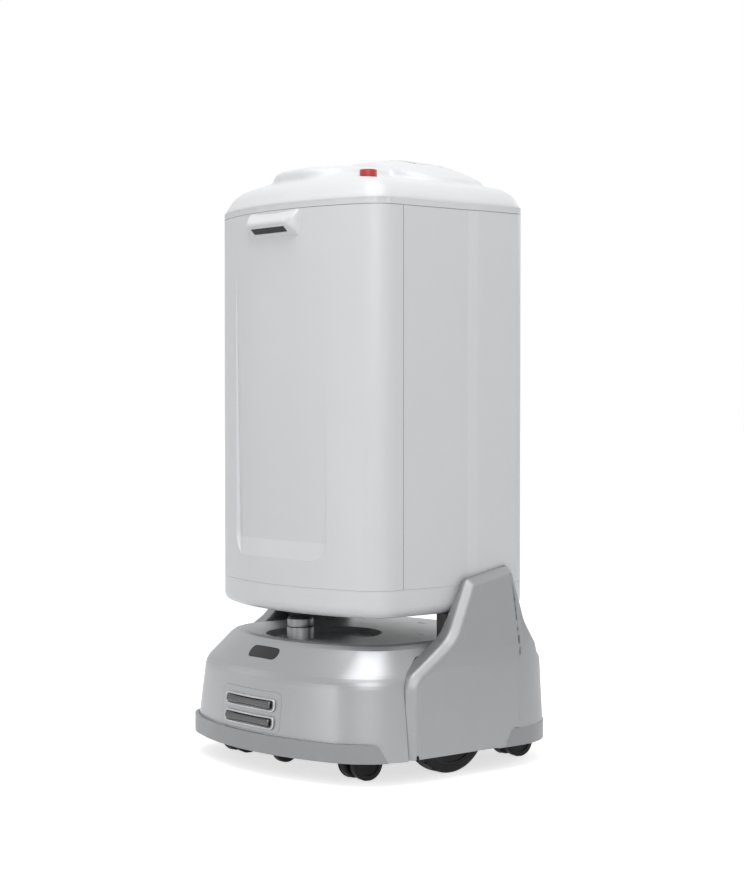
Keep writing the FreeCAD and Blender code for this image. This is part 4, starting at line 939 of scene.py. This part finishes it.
tray_mat = model_tray_mat()
tray_place = node_centre("tray_1")
mats = [tray_mat]
for number in (2, 3, 4):
    shift = node_centre(f"tray_{number}") - tray_place
    mats.append(copy_piece(tray_mat, f"tray_{number}_mat", shift=shift))
for index, mat in enumerate(mats):
    finish_piece(mat, f"tray_{index + 1}_slide", "spring_rubber")


SCREW_SIDES = 36
SCREW_RADIUS = 0.0034
SCREW_HEAD = 0.0018
SCREW_ROUND = 0.0010
SCREW_SOCKET = ((0.0009, -0.0010),)
SCREW_ROWS = 5
# From the bay's side and from its lower and upper end
SCREW_FROM_SIDE = 0.0068
SCREW_FROM_END = 0.0300

bay_low, bay_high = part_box("bay_liner")


def model_screw():
    """Round head with a round socket, on the left edge of the bay's frame."""
    screw = start_cylinder("bay_screw_left_1", SCREW_SIDES, SCREW_RADIUS, SCREW_HEAD,
                           (bay_high.x - SCREW_FROM_SIDE, bay_high.y + SCREW_HEAD / 2,
                            bay_low.z + SCREW_FROM_END), ALONG_Y)
    pick_edges(screw, lambda a, b: min(a.y, b.y) > bay_high.y + SCREW_HEAD / 2)
    bpy.ops.mesh.bevel(offset=SCREW_ROUND, segments=4, affect="EDGES")
    pick_faces(screw, lambda place, normal: normal.y > SQUARE)
    step_face(SCREW_SOCKET, (0, 1, 0))
    soften(60, 0.0001, 1)
    return screw


screw = model_screw()
row_pitch = (bay_high.z - bay_low.z - 2 * SCREW_FROM_END) / (SCREW_ROWS - 1)
across = bay_low.x - bay_high.x + 2 * SCREW_FROM_SIDE
screws = [screw]
for row in range(SCREW_ROWS):
    for side, shift in (("left", 0.0), ("right", across)):
        if row or shift:
            screws.append(copy_piece(screw, f"bay_screw_{side}_{row + 1}",
                                     shift=(shift, 0, row * row_pitch)))
for piece in screws:
    finish_piece(piece, "robot", "steel")


# Floor, light and camera

WHITE = (1, 1, 1, 1)
FLOOR_SIZE = 60.0
FLOOR_COLOUR = (0.80, 0.80, 0.80, 1)
FLOOR_ROUGHNESS = 0.9
FLOOR_GLOW = 0.68
ROOM_LIGHT = 0.37
# Name, place, target, size and power
SOFTBOXES = (
    ("softbox_top", (0.65, -0.8, 3.3), (0, 0, 0.6), (2.2, 2.2), 52.0),
    ("softbox_near_corner", (2.9, -2.4, 2.2), (0, 0, 0.6), (2.0, 2.0), 37.0),
    ("softbox_far_left", (-3.2, -2.2, 1.2), (0, 0, 0.3), (1.4, 1.6), 4.0),
    ("softbox_low_front", (0.0, -2.3, 0.40), (0, 0, 0.2), (0.5, 0.6), 1.8),
    ("softbox_rear", (0.6, 3.4, 2.2), (0, 0, 0.6), (2.0, 2.0), 22.0),
)
CAMERA_PLACE = (3.0721, -2.5351, 0.7324)
CAMERA_WAY = Vector((-0.7692, 0.6387, -0.0209))
CAMERA_LENS = 79.1
CAMERA_SENSOR = 36.0


def seen_rays(nodes, links):
    """1 for rays that see the background: from the camera, and by way of gloss or glass."""
    path = nodes.new("ShaderNodeLightPath")
    total = path.outputs["Is Camera Ray"]
    for name in ("Is Glossy Ray", "Is Transmission Ray"):
        larger = nodes.new("ShaderNodeMath")
        larger.operation = "MAXIMUM"
        links.new(total, larger.inputs[0])
        links.new(path.outputs[name], larger.inputs[1])
        total = larger.outputs["Value"]
    return total


bpy.ops.object.select_all(action="DESELECT")
bpy.ops.mesh.primitive_plane_add(size=FLOOR_SIZE, location=(0, 0, 0))
floor = bpy.context.active_object
floor.name = "studio_floor"
floor_material, floor_nodes, floor_links, floor_shader = new_finish("floor_white")
floor_shader.inputs["Base Color"].default_value = FLOOR_COLOUR
floor_shader.inputs["Roughness"].default_value = FLOOR_ROUGHNESS
glow = floor_nodes.new("ShaderNodeEmission")
glow.inputs["Color"].default_value = WHITE
glow.inputs["Strength"].default_value = FLOOR_GLOW
lit = floor_nodes.new("ShaderNodeAddShader")
seen = floor_nodes.new("ShaderNodeMixShader")
output = floor_nodes["Material Output"]
floor_links.new(floor_shader.outputs["BSDF"], lit.inputs[0])
floor_links.new(glow.outputs["Emission"], lit.inputs[1])
floor_links.new(seen_rays(floor_nodes, floor_links), seen.inputs["Fac"])
floor_links.new(floor_shader.outputs["BSDF"], seen.inputs[1])
floor_links.new(lit.outputs["Shader"], seen.inputs[2])
floor_links.new(seen.outputs["Shader"], output.inputs["Surface"])
floor.data.materials.append(floor_material)

world = bpy.data.worlds.new("studio")
bpy.context.scene.world = world
world.use_nodes = True
sky_nodes = world.node_tree.nodes
sky_links = world.node_tree.links
room = sky_nodes["Background"]
room.inputs["Color"].default_value = WHITE
room.inputs["Strength"].default_value = ROOM_LIGHT
white = sky_nodes.new("ShaderNodeBackground")
white.inputs["Color"].default_value = WHITE
white.inputs["Strength"].default_value = 1.0
sky_mix = sky_nodes.new("ShaderNodeMixShader")
sky_links.new(seen_rays(sky_nodes, sky_links), sky_mix.inputs["Fac"])
sky_links.new(room.outputs["Background"], sky_mix.inputs[1])
sky_links.new(white.outputs["Background"], sky_mix.inputs[2])
sky_links.new(sky_mix.outputs["Shader"], sky_nodes["World Output"].inputs["Surface"])

for name, place, target, size, power in SOFTBOXES:
    bpy.ops.object.light_add(type="AREA", location=place)
    lamp = bpy.context.active_object
    lamp.name = name
    lamp.data.shape = "RECTANGLE"
    lamp.data.size, lamp.data.size_y = size
    lamp.data.energy = power
    lamp.rotation_euler = (Vector(target) - Vector(place)).to_track_quat("-Z", "Y").to_euler()

bpy.ops.object.camera_add(location=CAMERA_PLACE)
camera = bpy.context.active_object
camera.data.sensor_width = CAMERA_SENSOR
camera.data.lens = CAMERA_LENS
camera.rotation_mode = "QUATERNION"
camera.rotation_quaternion = CAMERA_WAY.to_track_quat("-Z", "Y")
bpy.context.scene.camera = camera
bpy.context.scene.view_settings.view_transform = "Standard"
